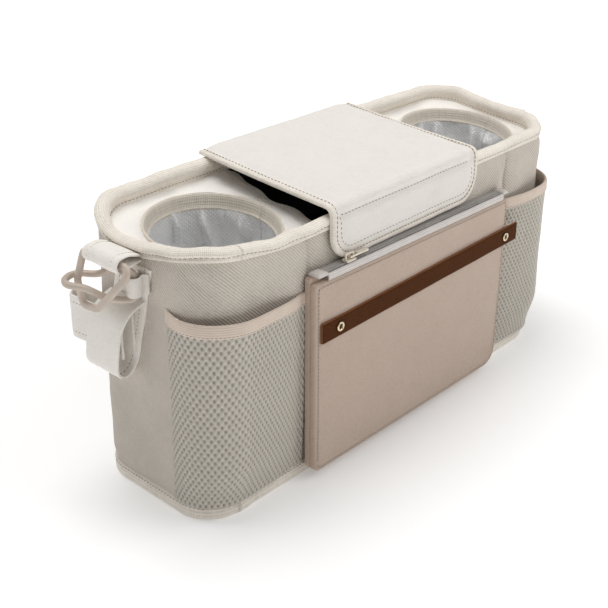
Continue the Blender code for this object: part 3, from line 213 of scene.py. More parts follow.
def plastic(name, light, dark, rough=0.38):
    """Moulded plastic: faint flow marks and a soft uneven gloss."""
    made, tree, shader = new_material(name, rough, specular=0.45)
    vector = object_vector(tree)
    broad = noise_node(tree, vector, 0.008, 3.0, 0.5)
    tree.links.new(ramp(tree, broad, [(0.3, dark), (0.7, light)]), shader.inputs["Base Color"])
    fine = noise_node(tree, vector, 0.0005, 2.0, 0.5)
    tree.links.new(math_node(tree, "ADD", math_node(tree, "MULTIPLY", fine, 0.16), rough - 0.08),
                   shader.inputs["Roughness"])
    bump(tree, fine, 0.12, 0.00005, shader)
    return made


def metal(name, light, dark, rough=0.3, metallic=1.0):
    made, tree, shader = new_material(name, rough, metallic)
    vector = object_vector(tree)
    broad = noise_node(tree, vector, 0.002, 3.0, 0.6)
    tree.links.new(ramp(tree, broad, [(0.3, dark), (0.7, light)]), shader.inputs["Base Color"])
    tree.links.new(math_node(tree, "ADD", math_node(tree, "MULTIPLY", broad, 0.2), rough - 0.1),
                   shader.inputs["Roughness"])
    bump(tree, broad, 0.1, 0.0001, shader)
    return made


def foil(name):
    """Insulating foil film: a fine pressed weave that breaks up the shine."""
    made, tree, shader = new_material(name, 0.30, 0.12, specular=0.7)
    uv = uv_vector(tree)
    one = wave(tree, uv, 0.0021, "DIAGONAL", 0.3)
    two = wave(tree, stretched(tree, uv, (-1.0, 1.0, 1.0)), 0.0021, "DIAGONAL", 0.3)
    weave = math_node(tree, "MULTIPLY", one, two)
    fine = noise_node(tree, uv, 0.0016, 2.0, 0.6)
    broad = noise_node(tree, uv, 0.014, 3.0, 0.55)
    factor = math_node(tree, "ADD", math_node(tree, "MULTIPLY", weave, 0.5),
                       math_node(tree, "MULTIPLY", broad, 0.7))
    tree.links.new(ramp(tree, factor, [(0.25, (0.86, 0.865, 0.87)), (0.8, (1.0, 1.0, 1.0))]),
                   shader.inputs["Base Color"])
    tree.links.new(math_node(tree, "ADD", math_node(tree, "MULTIPLY", fine, 0.25), 0.22),
                   shader.inputs["Roughness"])
    under = bump(tree, math_node(tree, "ADD", weave, fine), 0.7, 0.00035, None)
    bump(tree, noise_node(tree, uv, 0.009, 3.0, 0.6), 0.6, 0.0025, shader, under)
    return made


def mesh_cloth(name, pitch_u, pitch_v):
    """Spacer mesh: staggered dimples, their colour painted darker in each hole as shade, between lighter glossy
    threads.
    """
    made, tree, shader = new_material(name, 0.5, sheen=0.1, specular=0.45)
    uv = uv_vector(tree)
    holes = dimples(tree, uv, pitch_u, pitch_v)
    fine = noise_node(tree, uv, 0.0007, 2.0, 0.6)
    strands = wave(tree, uv, 0.0009, "DIAGONAL", 1.5)
    shade = math_node(tree, "ADD", holes, math_node(tree, "MULTIPLY", fine, 0.25))
    # Painted shade: the colour darkens towards the middle of each hole, where shade falls in the dimple.
    colour = ramp(tree, shade, [(0.28, (0.665, 0.62, 0.545)), (0.62, (0.585, 0.54, 0.465)),
                                (0.98, (0.41, 0.37, 0.31))])
    tree.links.new(colour, shader.inputs["Base Color"])
    height = math_node(tree, "SUBTRACT", math_node(tree, "MULTIPLY", strands, 0.25), holes)
    bump(tree, math_node(tree, "ADD", height, math_node(tree, "MULTIPLY", fine, 0.45)), 0.8, 0.0011, shader)
    return made


def dimples(tree, uv, pitch_u, pitch_v):
    """1 in the middle of each staggered hole and 0 on the threads between."""
    parts = add_node(tree, "ShaderNodeSeparateXYZ", {"Vector": uv})
    u = math_node(tree, "MULTIPLY", parts.outputs["X"], 2 * math.pi / pitch_u)
    v = math_node(tree, "MULTIPLY", parts.outputs["Y"], 2 * math.pi / pitch_v)
    product = math_node(tree, "MULTIPLY", math_node(tree, "COSINE", u), math_node(tree, "COSINE", v))
    lifted = math_node(tree, "MULTIPLY", math_node(tree, "ADD", product, 1.0), 0.5)
    return math_node(tree, "POWER", lifted, 1.6)


def ribbed(name, light, dark, period):
    """Ribbed elastic or zip tape: ribs along the length over a fine weave."""
    made, tree, shader = new_material(name, 0.7, sheen=0.2, specular=0.3)
    uv = uv_vector(tree)
    ribs = wave(tree, uv, period, "Y", 0.3)
    cross = wave(tree, uv, period * 0.8, "X", 0.5)
    broad = noise_node(tree, uv, 0.01, 3.0, 0.5)
    factor = math_node(tree, "ADD", math_node(tree, "MULTIPLY", ribs, 0.5),
                       math_node(tree, "MULTIPLY", broad, 0.5))
    tree.links.new(ramp(tree, factor, [(0.2, dark), (0.8, light)]), shader.inputs["Base Color"])
    bump(tree, math_node(tree, "ADD", ribs, math_node(tree, "MULTIPLY", cross, 0.3)), 0.6, 0.0002, shader)
    return made


TWILL = cloth("twill_cloth", (0.70, 0.635, 0.56), (0.49, 0.435, 0.375), 0.0010, twill=0.0017, depth=0.0004)
LINEN = cloth("linen_cloth", (0.88, 0.84, 0.785), (0.65, 0.605, 0.545), 0.0011, slub=0.75)
# Painted light: the deck gets a lighter copy of the linen cloth, brightened to make up for the shade the rim
# throws on it.
LIT_DECK_LINEN = cloth("deck_linen_lit", (0.95, 0.915, 0.865), (0.75, 0.71, 0.65), 0.0011, slub=0.75)
RIM_CLOTH = cloth("rim_cloth", (0.93, 0.865, 0.775), (0.62, 0.55, 0.46), 0.0011, slub=0.6)
COLLAR_CLOTH = cloth("collar_cloth", (0.80, 0.73, 0.63), (0.52, 0.455, 0.37), 0.0013, slub=0.85, depth=0.0004)
STRAP_CLOTH = cloth("strap_cloth", (0.94, 0.90, 0.84), (0.66, 0.615, 0.55), 0.0011, slub=0.75)
LINING = cloth("lining_cloth", (0.022, 0.020, 0.019), (0.008, 0.008, 0.008), 0.0010)
FOIL = foil("foil_film")
MESH = mesh_cloth("spacer_mesh", 0.0037, 0.0066)
ELASTIC = ribbed("elastic_band", (0.78, 0.66, 0.56), (0.63, 0.52, 0.43), 0.0010)
ZIP_TAPE = ribbed("zip_tape_cloth", (0.76, 0.715, 0.68), (0.60, 0.555, 0.52), 0.0009)
ZIP_TAPE_DARK = ribbed("zip_tape_shade", (0.50, 0.475, 0.45), (0.36, 0.34, 0.32), 0.0009)
POUCH = leather("pouch_skin", (0.575, 0.455, 0.37), (0.465, 0.36, 0.285), 0.0014, 0.5)
STRAP_LEATHER = leather("brown_leather", (0.100, 0.034, 0.010), (0.052, 0.017, 0.005), 0.0010, 0.7, 0.00012,
                        specular=0.05)
STRAP_EDGE = leather("leather_edge", (0.30, 0.13, 0.055), (0.20, 0.08, 0.03), 0.0008, 0.65, 0.0001,
                     specular=0.15)
PLASTIC = plastic("beige_plastic", (0.62, 0.525, 0.445), (0.56, 0.47, 0.395))
ZIP_METAL = metal("zip_lacquer", (0.84, 0.77, 0.66), (0.70, 0.63, 0.53), 0.38, 0.35)
TEETH = plastic("zip_coil", (0.52, 0.50, 0.48), (0.38, 0.365, 0.35), 0.45)
BRASS = metal("eyelet_brass", (0.83, 0.72, 0.54), (0.62, 0.50, 0.33), 0.26)
TAPE = cloth("hook_tape_cloth", (0.60, 0.545, 0.485), (0.38, 0.34, 0.295), 0.0009)
THREAD = cloth("thread", (0.86, 0.81, 0.74), (0.62, 0.56, 0.49), 0.0005)
THREAD_DARK = cloth("thread_shade", (0.42, 0.35, 0.27), (0.28, 0.22, 0.165), 0.0005)
THREAD_TAUPE = cloth("thread_taupe", (0.52, 0.42, 0.34), (0.38, 0.30, 0.24), 0.0005)


# Mesh building

def make_piece(name, points, faces, uvs, material, body="root", smooth=True, replaced=()):
    """A piece from lists of points and faces; uvs holds one (u, v) per point, in metres."""
    mesh = bpy.data.meshes.new(name)
    mesh.from_pydata([tuple(p) for p in points], [], faces)
    layer = mesh.uv_layers.new(name="UVMap")
    loops = [0] * len(mesh.loops)
    mesh.loops.foreach_get("vertex_index", loops)
    flat = []
    for index in loops:
        flat += uvs[index]
    layer.data.foreach_set("uv", flat)
    made_bm = bmesh.new()
    made_bm.from_mesh(mesh)
    bmesh.ops.recalc_face_normals(made_bm, faces=made_bm.faces)
    made_bm.to_mesh(mesh)
    made_bm.free()
    if smooth:
        mesh.shade_smooth()
        mesh.set_sharp_from_angle(angle=math.radians(55))
    mesh.materials.append(material)
    made = bpy.data.objects.new(name, mesh)
    bpy.context.scene.collection.objects.link(made)
    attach(made, body)
    if replaced:
        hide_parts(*replaced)
    return made


def grid(items, column):
    """Outer, inner and uv rows of a slab; column(item) yields one (outer, inner, uv) a point."""
    rows = [list(column(item)) for item in items]
    return [[[cell[part] for cell in row] for row in rows] for part in range(3)]


def slab(name, outer, inner, uv, material, body="root", closed=False, replaced=()):
    """A closed cloth piece between two grids of points, each a list of rows."""
    rows, columns = len(outer), len(outer[0])
    points = [p for row in outer for p in row] + [p for row in inner for p in row]
    uvs = [list(c) for row in uv for c in row] * 2
    half = rows * columns
    faces = []
    last = rows if closed else rows - 1
    for i in range(last):
        j = (i + 1) % rows
        for k in range(columns - 1):
            a, b, c, d = i * columns + k, j * columns + k, j * columns + k + 1, i * columns + k + 1
            faces.append((a, b, c, d))
            faces.append((a + half, d + half, c + half, b + half))
        for k in (0, columns - 1):
            a, b = i * columns + k, j * columns + k
            faces.append((a, a + half, b + half, b) if k == 0 else (a, b, b + half, a + half))
    if not closed:
        for i in (0, rows - 1):
            for k in range(columns - 1):
                a, b = i * columns + k, i * columns + k + 1
                faces.append((a, b, b + half, a + half) if i == 0 else (a, a + half, b + half, b))
    return make_piece(name, points, faces, uvs, material, body, True, replaced)


def tube(name, sections, uv, material, body="root", closed=True, replaced=()):
    """A closed bar through a list of outlines with the same number of points."""
    rows, columns = len(sections), len(sections[0])
    points = [p for row in sections for p in row]
    uvs = [list(c) for row in uv for c in row]
    faces = []
    last = rows if closed else rows - 1
    for i in range(last):
        j = (i + 1) % rows
        for k in range(columns):
            n = (k + 1) % columns
            faces.append((i * columns + k, j * columns + k, j * columns + n, i * columns + n))
    if not closed:
        faces.append(tuple(range(columns)))
        faces.append(tuple((rows - 1) * columns + k for k in reversed(range(columns))))
    return make_piece(name, points, faces, uvs, material, body, True, replaced)


def resample(points, step):
    """Points a step apart along a polyline, so that stitches come out even."""
    out = []
    left = 0.0
    for a, b in zip(points, points[1:]):
        a, b = Vector(a), Vector(b)
        length = (b - a).length
        while left < length:
            out.append(a.lerp(b, left / length))
            left += step
        left -= length
    return out


def stitches(name, line, normal, material, pitch=0.0032, length=0.0022, radius=0.00028, body="root"):
    """A row of thread stitches along a line; normal(point) faces out of the cloth."""
    marks = resample(line, pitch)
    points, faces, uvs = [], [], []
    for k, mark in enumerate(marks[:-1]):
        along = (marks[k + 1] - mark)
        if along.length < 1e-6:
            continue
        along.normalize()
        out = Vector(normal(mark)).normalized()
        side = along.cross(out).normalized()
        start = len(points)
        for share, thick in ((0.0, 0.35), (0.2, 0.95), (0.5, 1.1), (0.8, 0.95), (1.0, 0.35)):
            centre = mark + along * length * share
            for angle in range(6):
                turn = math.radians(60 * angle)
                points.append(centre + (side * math.cos(turn) + out * math.sin(turn)) * radius * thick)
                uvs.append([share * length, turn * radius])
        for ring in range(4):
            for angle in range(6):
                n = (angle + 1) % 6
                a = start + ring * 6
                faces.append((a + angle, a + 6 + angle, a + 6 + n, a + n))
        faces.append(tuple(start + a for a in reversed(range(6))))
        faces.append(tuple(start + 24 + a for a in range(6)))
    return make_piece(name, points, faces, uvs, material, body)


# Shape of the shell, the same as in the part

def half_sizes(z):
    t = clamp(z / RIM_HEIGHT)
    return (mix(BASE_LENGTH, RIM_LENGTH, t) / 2,
            mix(BASE_WIDTH, RIM_WIDTH, t) / 2 + WALL_BULGE * 4 * t * (1 - t),
            mix(BASE_CORNER, RIM_CORNER, t))


def outline_point(s, z, inset=0.0):
    half_length, half_width, radius = half_sizes(z)
    across_x, across_y = half_length - radius, half_width - radius
    radius -= inset
    part = int(math.floor(s + 1e-9)) % 8
    t = s - math.floor(s + 1e-9)
    if part == 0:
        return mix(-across_x, across_x, t), -half_width + inset
    if part == 2:
        return half_length - inset, mix(-across_y, across_y, t)
    if part == 4:
        return mix(across_x, -across_x, t), half_width - inset
    if part == 6:
        return -half_length + inset, mix(across_y, -across_y, t)
    corner_x = across_x if part in (1, 3) else -across_x
    corner_y = -across_y if part in (1, 7) else across_y
    start = {1: -90, 3: 0, 5: 90, 7: 180}[part]
    angle = math.radians(start + 90 * t)
    return corner_x + radius * math.cos(angle), corner_y + radius * math.sin(angle)


ACROSS_X = HALF_LENGTH - RIM_CORNER
ACROSS_Y = HALF_WIDTH - RIM_CORNER
SIDE_RUNS = [2 * ACROSS_X, RIM_CORNER * math.pi / 2, 2 * ACROSS_Y, RIM_CORNER * math.pi / 2] * 2
RUN_TOTAL = sum(SIDE_RUNS)


def run_of(s):
    """Length along the rim's outline from the front left corner to a station."""
    whole = int(math.floor(s + 1e-9))
    total = (whole // 8) * RUN_TOTAL + sum(SIDE_RUNS[: whole % 8])
    return total + SIDE_RUNS[whole % 8] * (s - whole)


def station_of(run):
    s = 8 * math.floor(run / RUN_TOTAL)
    run -= RUN_TOTAL * math.floor(run / RUN_TOTAL)
    for k, length in enumerate(SIDE_RUNS):
        if run <= length:
            return s + k + run / length
        run -= length
    return s + 8.0


def front_station(x):
    return (x + ACROSS_X) / (2 * ACROSS_X)


def back_station(x):
    return 5 - front_station(x)


def end_station(y):
    return 6 + (ACROSS_Y - y) / (2 * ACROSS_Y)


def end_sag(x, y):
    end = ease((-x / HALF_LENGTH - 0.8) / 0.2)
    return LEFT_END_SAG * end * ease(1 - abs(y - 0.020) / (0.042 if y > 0.020 else 0.078))


def rim_top(x, y):
    lift = CORNER_LIFT * ease(1 - math.hypot(HALF_LENGTH + x, HALF_WIDTH + y) / 0.075)
    return RIM_HEIGHT + RIM_SLOPE * y + RIM_LEAN * x - end_sag(x, y) + lift


def deck_top(x, y):
    return RIM_HEIGHT + RIM_SLOPE * y + RIM_LEAN * x - DECK_DROP


def shell_point(s, z, out):
    x, y = outline_point(s, z, -out)
    return Vector((x, y, z))


# Creases in the walls: start, end, half width and height, all in metres
CREASES = [
    ((-0.189, -0.044, 0.177), (-0.181, -0.056, 0.160), 0.0040, -0.0016),
    ((-0.183, -0.052, 0.176), (-0.160, -0.059, 0.159), 0.0045, 0.0016),
    ((-0.172, -0.058, 0.168), (-0.150, -0.059, 0.150), 0.0050, -0.0010),
    ((-0.160, -0.059, 0.177), (-0.130, -0.059, 0.171), 0.0040, -0.0009),
    ((-0.191, -0.030, 0.150), (-0.186, -0.050, 0.120), 0.0080, 0.0010),
    ((0.118, -0.059, 0.176), (0.128, -0.059, 0.146), 0.0040, -0.0014),
    ((0.137, -0.059, 0.176), (0.143, -0.059, 0.150), 0.0060, 0.0012),
    ((-0.193, 0.030, 0.120), (-0.193, 0.010, 0.050), 0.0120, -0.0012),
    ((-0.060, 0.058, 0.130), (0.040, 0.058, 0.110), 0.0100, -0.0009),
    ((0.100, 0.058, 0.150), (0.160, 0.055, 0.120), 0.0090, 0.0010),
    ((0.192, -0.010, 0.140), (0.192, 0.020, 0.070), 0.0110, -0.0010),
]


def crease_height(point):
    total = 0.0
    for a, b, width, height in CREASES:
        a, b = Vector(a), Vector(b)
        if abs(point.x - (a.x + b.x) / 2) > 0.07:
            continue
        line = b - a
        t = clamp((point - a).dot(line) / line.length_squared)
        distance = (point - a - line * t).length
        if distance < width * 3:
            total += height * dent(distance, width) * (0.35 + 0.65 * math.sin(math.pi * clamp(t * 0.8 + 0.1)))
    return total


def wall_out(s, z, edge):
    """How far the cloth stands off the plain wall; edge is the run to the nearest panel seam."""
    point = shell_point(s, z, 0.0)
    out = 0.0011 * lump(point, 0.045, 1) + 0.0005 * lump(point, 0.014, 2)
    out += crease_height(point)
    out += 0.0009 * ease(edge / 0.014) - 0.0016 * dent(edge, 0.0016)
    top = rim_top(point.x, point.y) - RIM_BAND - z
    out -= 0.0009 * dent(top, 0.004)
    out -= 0.0004 * dent(z - 0.012, 0.003)
    return out * mix(0.15, 1.0, ease((z - 0.008) / 0.014))


def wall_piece(name, start, end):
    run_start, run_end = run_of(start), run_of(end)
    columns = max(8, int((run_end - run_start) / 0.0022))

    def column(k):
        run = mix(run_start, run_end, k / columns)
        s = station_of(run)
        edge = min(run - run_start, run_end - run)
        top = rim_top(*outline_point(s, RIM_HEIGHT)) - RIM_BAND + 0.001
        for j in range(81):
            z = top * j / 80
            yield shell_point(s, z, wall_out(s, z, edge)), shell_point(s, z, -WALL + 0.0002), (run, z)

    outer, inner, uv = grid(range(columns + 1), column)
    made = slab("cloth_" + name, outer, inner, uv, TWILL, replaced=(name,))
    return made


def build_walls():
    left, right = front_station(SEAM_LEFT), front_station(SEAM_RIGHT)
    back_right, back_left = back_station(SEAM_BACK), back_station(-SEAM_BACK)
    wall_piece("front_centre_panel", left, right)
    wall_piece("right_wrap_panel", right, back_right)
    wall_piece("back_panel", back_right, back_left)
    wall_piece("left_wrap_panel", back_left, 8 + left)


def build_bottom():
    count = 120

    def column(k):
        s = station_of(RUN_TOTAL * k / count)
        for j in range(13):
            share = 1 - (j / 12) * 0.98
            x, y = outline_point(s, 0.0, WALL * 0.4)
            x, y = x * share, y * share
            puff = 0.0006 * (1 - (1 - j / 12) ** 2) + 0.0003 * lump((x, y, 0.0), 0.03, 5)
            yield Vector((x, y, max(0.0, 0.0006 - puff))), Vector((x, y, 0.0050)), (x, y)

    outer, inner, uv = grid(range(count), column)
    rows, columns = len(outer), len(outer[0])
    points = [p for row in outer for p in row] + [p for row in inner for p in row]
    uvs = [list(c) for row in uv for c in row] * 2
    half = rows * columns
    faces = []
    for i in range(rows):
        j = (i + 1) % rows
        for k in range(columns - 1):
            a, b, c, d = i * columns + k, j * columns + k, j * columns + k + 1, i * columns + k + 1
            faces += [(a, b, c, d), (a + half, d + half, c + half, b + half)]
        a, b = i * columns, j * columns
        faces.append((a, a + half, b + half, b))
    last = columns - 1
    faces.append(tuple(i * columns + last for i in range(rows)))
    faces.append(tuple(half + i * columns + last for i in reversed(range(rows))))
    made = make_piece("cloth_bottom_panel", points, faces, uvs, TWILL, replaced=("bottom_panel",))


def build_base_binding():
    """Flat bound edge round the foot, with a step at the front where its ends overlap."""
    count = 420
    overlap = run_of(front_station(-0.1495))
    sections, uv = [], []
    for k in range(count):
        run = RUN_TOTAL * k / count
        s = station_of(run)
        point = shell_point(s, 0.005, 0.0)
        wavy = 0.0003 * lump(point, 0.012, 3)
        step = 0.0009 * ease((overlap - run) / 0.002) * ease((run + 0.03) / 0.03) if run < 0.2 else 0.0
        high = 0.0104 + 0.0004 * lump(point, 0.02, 4) + step * 0.5
        out = 0.0015 + wavy + step
        profile = [(-0.0004, 0.0004), (out * 0.7, 0.0002), (out + 0.0002, 0.0014),
                   (out + 0.0003, high * 0.45),
                   (out, high * 0.82), (out - 0.0006, high - 0.0003), (0.0001, high), (-0.0004, high * 0.9)]
        sections.append([shell_point(s, z, o) for o, z in profile])
        uv.append([(run, 0.0013 * j) for j in range(len(profile))])
    made = tube("base_edge", sections, uv, RIM_CLOTH, replaced=("base_binding",))
    line = []
    for k in range(400):
        s = station_of(RUN_TOTAL * k / 400)
        line.append(shell_point(s, 0.0085, 0.0017))
    stitches("base_stitching", line + [line[0]], lambda p: outward(p), THREAD_DARK, 0.0030, 0.0019, 0.00022)


def outward(point):
    """Direction out of the wall at a point near it."""
    x = point[0] - clamp(point[0], -ACROSS_X, ACROSS_X)
    y = point[1] - clamp(point[1], -ACROSS_Y, ACROSS_Y)
    return Vector((x, y, 0.0)) if abs(x) + abs(y) > 1e-6 else Vector((0.0, -1.0, 0.0))


# Rim

def rim_sway(s, run):
    """How the soft rim wanders: out of line, up and down, and its thickness."""
    point = shell_point(s, 0.19, 0.0)
    corner = dent(run - RUN_TOTAL + 0.030, 0.050) + dent(run - 0.030, 0.045)
    right = dent(run - run_of(2.5), 0.07)
    out = 0.0010 * lump(point, 0.030, 6) + (0.0030 * corner + 0.0012 * right) * lump(point, 0.017, 7)
    up = 0.0009 * lump(point, 0.035, 8) + (0.0024 * corner + 0.0015 * right) * lump(point, 0.020, 9)
    fat = 1.0 + 0.14 * lump(point, 0.012, 10) + 0.12 * corner
    return out, up, fat


RIM_PROFILE = [
    (-0.0004, -0.0086), (-0.0015, -0.0084), (-0.0021, -0.0074), (-0.0020, -0.0060), (-0.0011, -0.0050),
    (-0.0024, -0.0041), (-0.0031, -0.0028), (-0.0023, -0.0012), (-0.0004, -0.0003), (0.0022, 0.0001),
    (0.0044, -0.0004), (0.0062, -0.0018), (0.0073, -0.0036), (0.0076, -0.0054), (0.0070, -0.0072),
    (0.0060, -0.0084), (0.0068, -0.0095), (0.0069, -0.0110), (0.0062, -0.0124), (0.0055, -0.0124),
    (0.0053, -0.0090),
]


def rim_sections(count):
    sections, uv, lines = [], [], {"out": [], "in": []}
    for k in range(count):
        run = RUN_TOTAL * k / count
        s = station_of(run)
        out, up, fat = rim_sway(s, run)
        section = []
        x0, y0 = outline_point(s, RIM_HEIGHT, 0.0025)
        ridge = rim_top(x0, y0)
        pucker = 0.00050 * math.sin(run * 2 * math.pi / 0.0052) * (0.6 + 0.4 * lump((run, 0, 0), 0.02, 11))
        for j, (inset, drop) in enumerate(RIM_PROFILE):
            lift = ease((drop + 0.0088) / 0.005) if j < 9 else ease((drop + 0.0125) / 0.006)
            roll = ease((drop + 0.0055) / 0.0015) if j < 9 else ease((drop + 0.0095) / 0.003)
            shift = out * lift
            thick = (fat - 1) * roll
            centre_in, centre_z = 0.0023, -0.0035
            inset = inset + (inset - centre_in) * thick - shift
            height = drop + (drop - centre_z) * thick + up * lift
            if roll > 0.5:
                inset += (inset - centre_in) * pucker * 40
            x, y = outline_point(s, RIM_HEIGHT, inset)
            tilt = rim_top(*outline_point(s, RIM_HEIGHT, clamp(inset, 0.0, 0.006)))
            section.append(Vector((x, y, mix(ridge, tilt, 0.6) + height)))
        sections.append(section)
        uv.append([(run, 0.0016 * j) for j in range(len(section))])
        lines["out"].append(section[4].copy() + outward(section[4]).normalized() * 0.0004)
        lines["in"].append(section[16].copy())
    return sections, uv, lines


def build_rim():
    sections, uv, lines = rim_sections(640)
    made = tube("rim_roll", sections, uv, RIM_CLOTH, replaced=("rim_binding",))
    soften(made, 1)
    stitches("rim_stitching_outer", lines["out"] + [lines["out"][0]], outward, THREAD_DARK, 0.0033, 0.0022,
             0.00032)
    stitches("rim_stitching_inner", lines["in"] + [lines["in"][0]], lambda p: -outward(p), THREAD_DARK,
             0.0031, 0.0019, 0.00024)


def soften(obj, levels):
    """One pass of subdivision, applied, so that no modifier is left on the piece."""
    modifier = obj.modifiers.new("soften", "SUBSURF")
    modifier.levels = levels
    modifier.render_levels = levels
    bpy.context.view_layer.objects.active = obj
    bpy.context.view_layer.update()
    graph = bpy.context.evaluated_depsgraph_get()
    mesh = bpy.data.meshes.new_from_object(obj.evaluated_get(graph))
    obj.modifiers.clear()
    obj.data = mesh


# Deck, collars and liners

def hem_x(y):
    t = (y + HALF_WIDTH) / RIM_WIDTH
    wave_x = 0.0022 * math.sin(y * 95 + 0.6) + 0.0016 * math.sin(y * 190 + 1.0)
    return mix(0.0865, 0.0735, t) - 0.0125 + wave_x


def deck_sag(x, y, share):
    """The deck dips a little between rim and hole and rises at the sewn collar."""
    return (-0.0022 * math.sin(math.pi * share) + 0.0006 * lump((x, y, 0.0), 0.022, 12)
            + 0.0003 * lump((x, y, 0.0), 0.009, 13))


def build_deck(side_name):
    side = STRAP_SIDES[side_name]
    count = 180
    inset = 0.0062

    def column(k):
        angle = 2 * math.pi * k / count
        direction = Vector((math.cos(angle), math.sin(angle), 0.0))
        low, high = COLLAR_RADIUS, 0.14
        for _ in range(40):
            middle = (low + high) / 2
            x = CUP_X + direction.x * middle
            y = CUP_Y + direction.y * middle
            if inside_rim(x, y, inset) and x > hem_x(y):
                low = middle
            else:
                high = middle
        reach = low
        steps = 22
        for j in range(steps + 1):
            share = j / steps
            radius = mix(COLLAR_RADIUS - 0.0003, reach, share)
            x = CUP_X + direction.x * radius
            y = CUP_Y + direction.y * radius
            hem = clamp((x - hem_x(y)) / 0.013)
            z = deck_top(side * x, y) + deck_sag(x, y, share) + 0.0010 * dent(share, 0.10)
            z -= 0.0042 * (1 - hem) ** 2 - 0.0005 * dent(hem - 0.92, 0.10)
            z -= 0.35 * end_sag(side * x, y) * share * share
            yield Vector((side * x, y, z)), Vector((side * x, y, z - mix(0.0026, 0.0014, 1 - hem))), (x, y)

    outer, inner, uv = grid(range(count), column)
    # The deck is covered in the lighter, painted-light copy of the linen.
    made = slab("cloth_deck_" + side_name, outer, inner, uv, LIT_DECK_LINEN, closed=True,
                replaced=("deck_" + side_name, "deck_hem_" + side_name))
    for row, distance in enumerate((0.0125, 0.0088)):
        line = []
        for k in range(60):
            y = mix(-0.0495, 0.0495, k / 59)
            x = hem_x(y) + distance
            z = deck_top(side * x, y) + deck_sag(x, y,
                                                 1.0) - 0.0042 * (1 - clamp(distance / 0.013)) ** 2 + 0.0002
            line.append(Vector((side * x, y, z)))
        stitches(f"hem_stitching_{side_name}_{row}", line, lambda p: (0, -RIM_SLOPE, 1), THREAD, 0.0031,
                 0.0021, 0.00024)


def inside_rim(x, y, inset):
    half_length, half_width, radius = HALF_LENGTH - inset, HALF_WIDTH - inset, RIM_CORNER - inset
    dx, dy = abs(x) - (half_length - radius), abs(y) - (half_width - radius)
    if dx <= 0 and dy <= 0:
        return True
    if dx > 0 and dy > 0:
        return math.hypot(dx, dy) <= radius
    return max(dx, dy) <= radius


COLLAR_PROFILE = [
    (0.0460, -0.0026), (0.0462, -0.0004), (0.0459, 0.0008), (0.0450, 0.0011), (0.0441, 0.0004),
    (0.0436, -0.0012),
    (0.0431, -0.0036), (0.0426, -0.0062), (0.0424, -0.0074), (0.0417, -0.0078), (0.0413, -0.0086),
    (0.0416, -0.0095), (0.0425, -0.0098), (0.0433, -0.0090), (0.0442, -0.0050),
]


def build_collar(side_name):
    side = STRAP_SIDES[side_name]
    count = 240
    sections, uv = [], []
    lines = {"top": [], "low": []}
    for k in range(count):
        angle = 2 * math.pi * k / count
        ripple = lump((math.cos(angle), math.sin(angle), side * 2.0), 0.35, 14)
        fine = math.sin(angle * 46) * 0.00022 * (0.5 + 0.5 * lump((math.cos(angle), math.sin(angle), 3.0),
                                                                  0.3, 15))
        section = []
        for j, (radius, height) in enumerate(COLLAR_PROFILE):
            depth = clamp(-height / 0.009)
            radius = radius + 0.0007 * ripple * depth + fine
            height = height - 0.0006 * ripple * depth
            x = side * CUP_X + radius * math.cos(angle)
            y = CUP_Y + radius * math.sin(angle)
            section.append(Vector((x, y, deck_top(x, y) + height)))
        sections.append(section)
        uv.append([(angle * 0.045, 0.0016 * j) for j in range(len(section))])
        lines["top"].append(section[5].lerp(section[6], 0.3))
        lines["low"].append(section[9].lerp(section[10], 0.5))
    made = tube("cloth_cup_collar_" + side_name, sections, uv, COLLAR_CLOTH,
                replaced=("cup_collar_" + side_name,))
    centre = Vector((side * CUP_X, CUP_Y, 0.0))

    def inward(point):
        spoke = centre - Vector(point)
        spoke.z = 0.0
        return spoke

    stitches("collar_stitching_" + side_name, lines["low"] + [lines["low"][0]], inward, THREAD, 0.0034,
             0.0022, 0.00026)


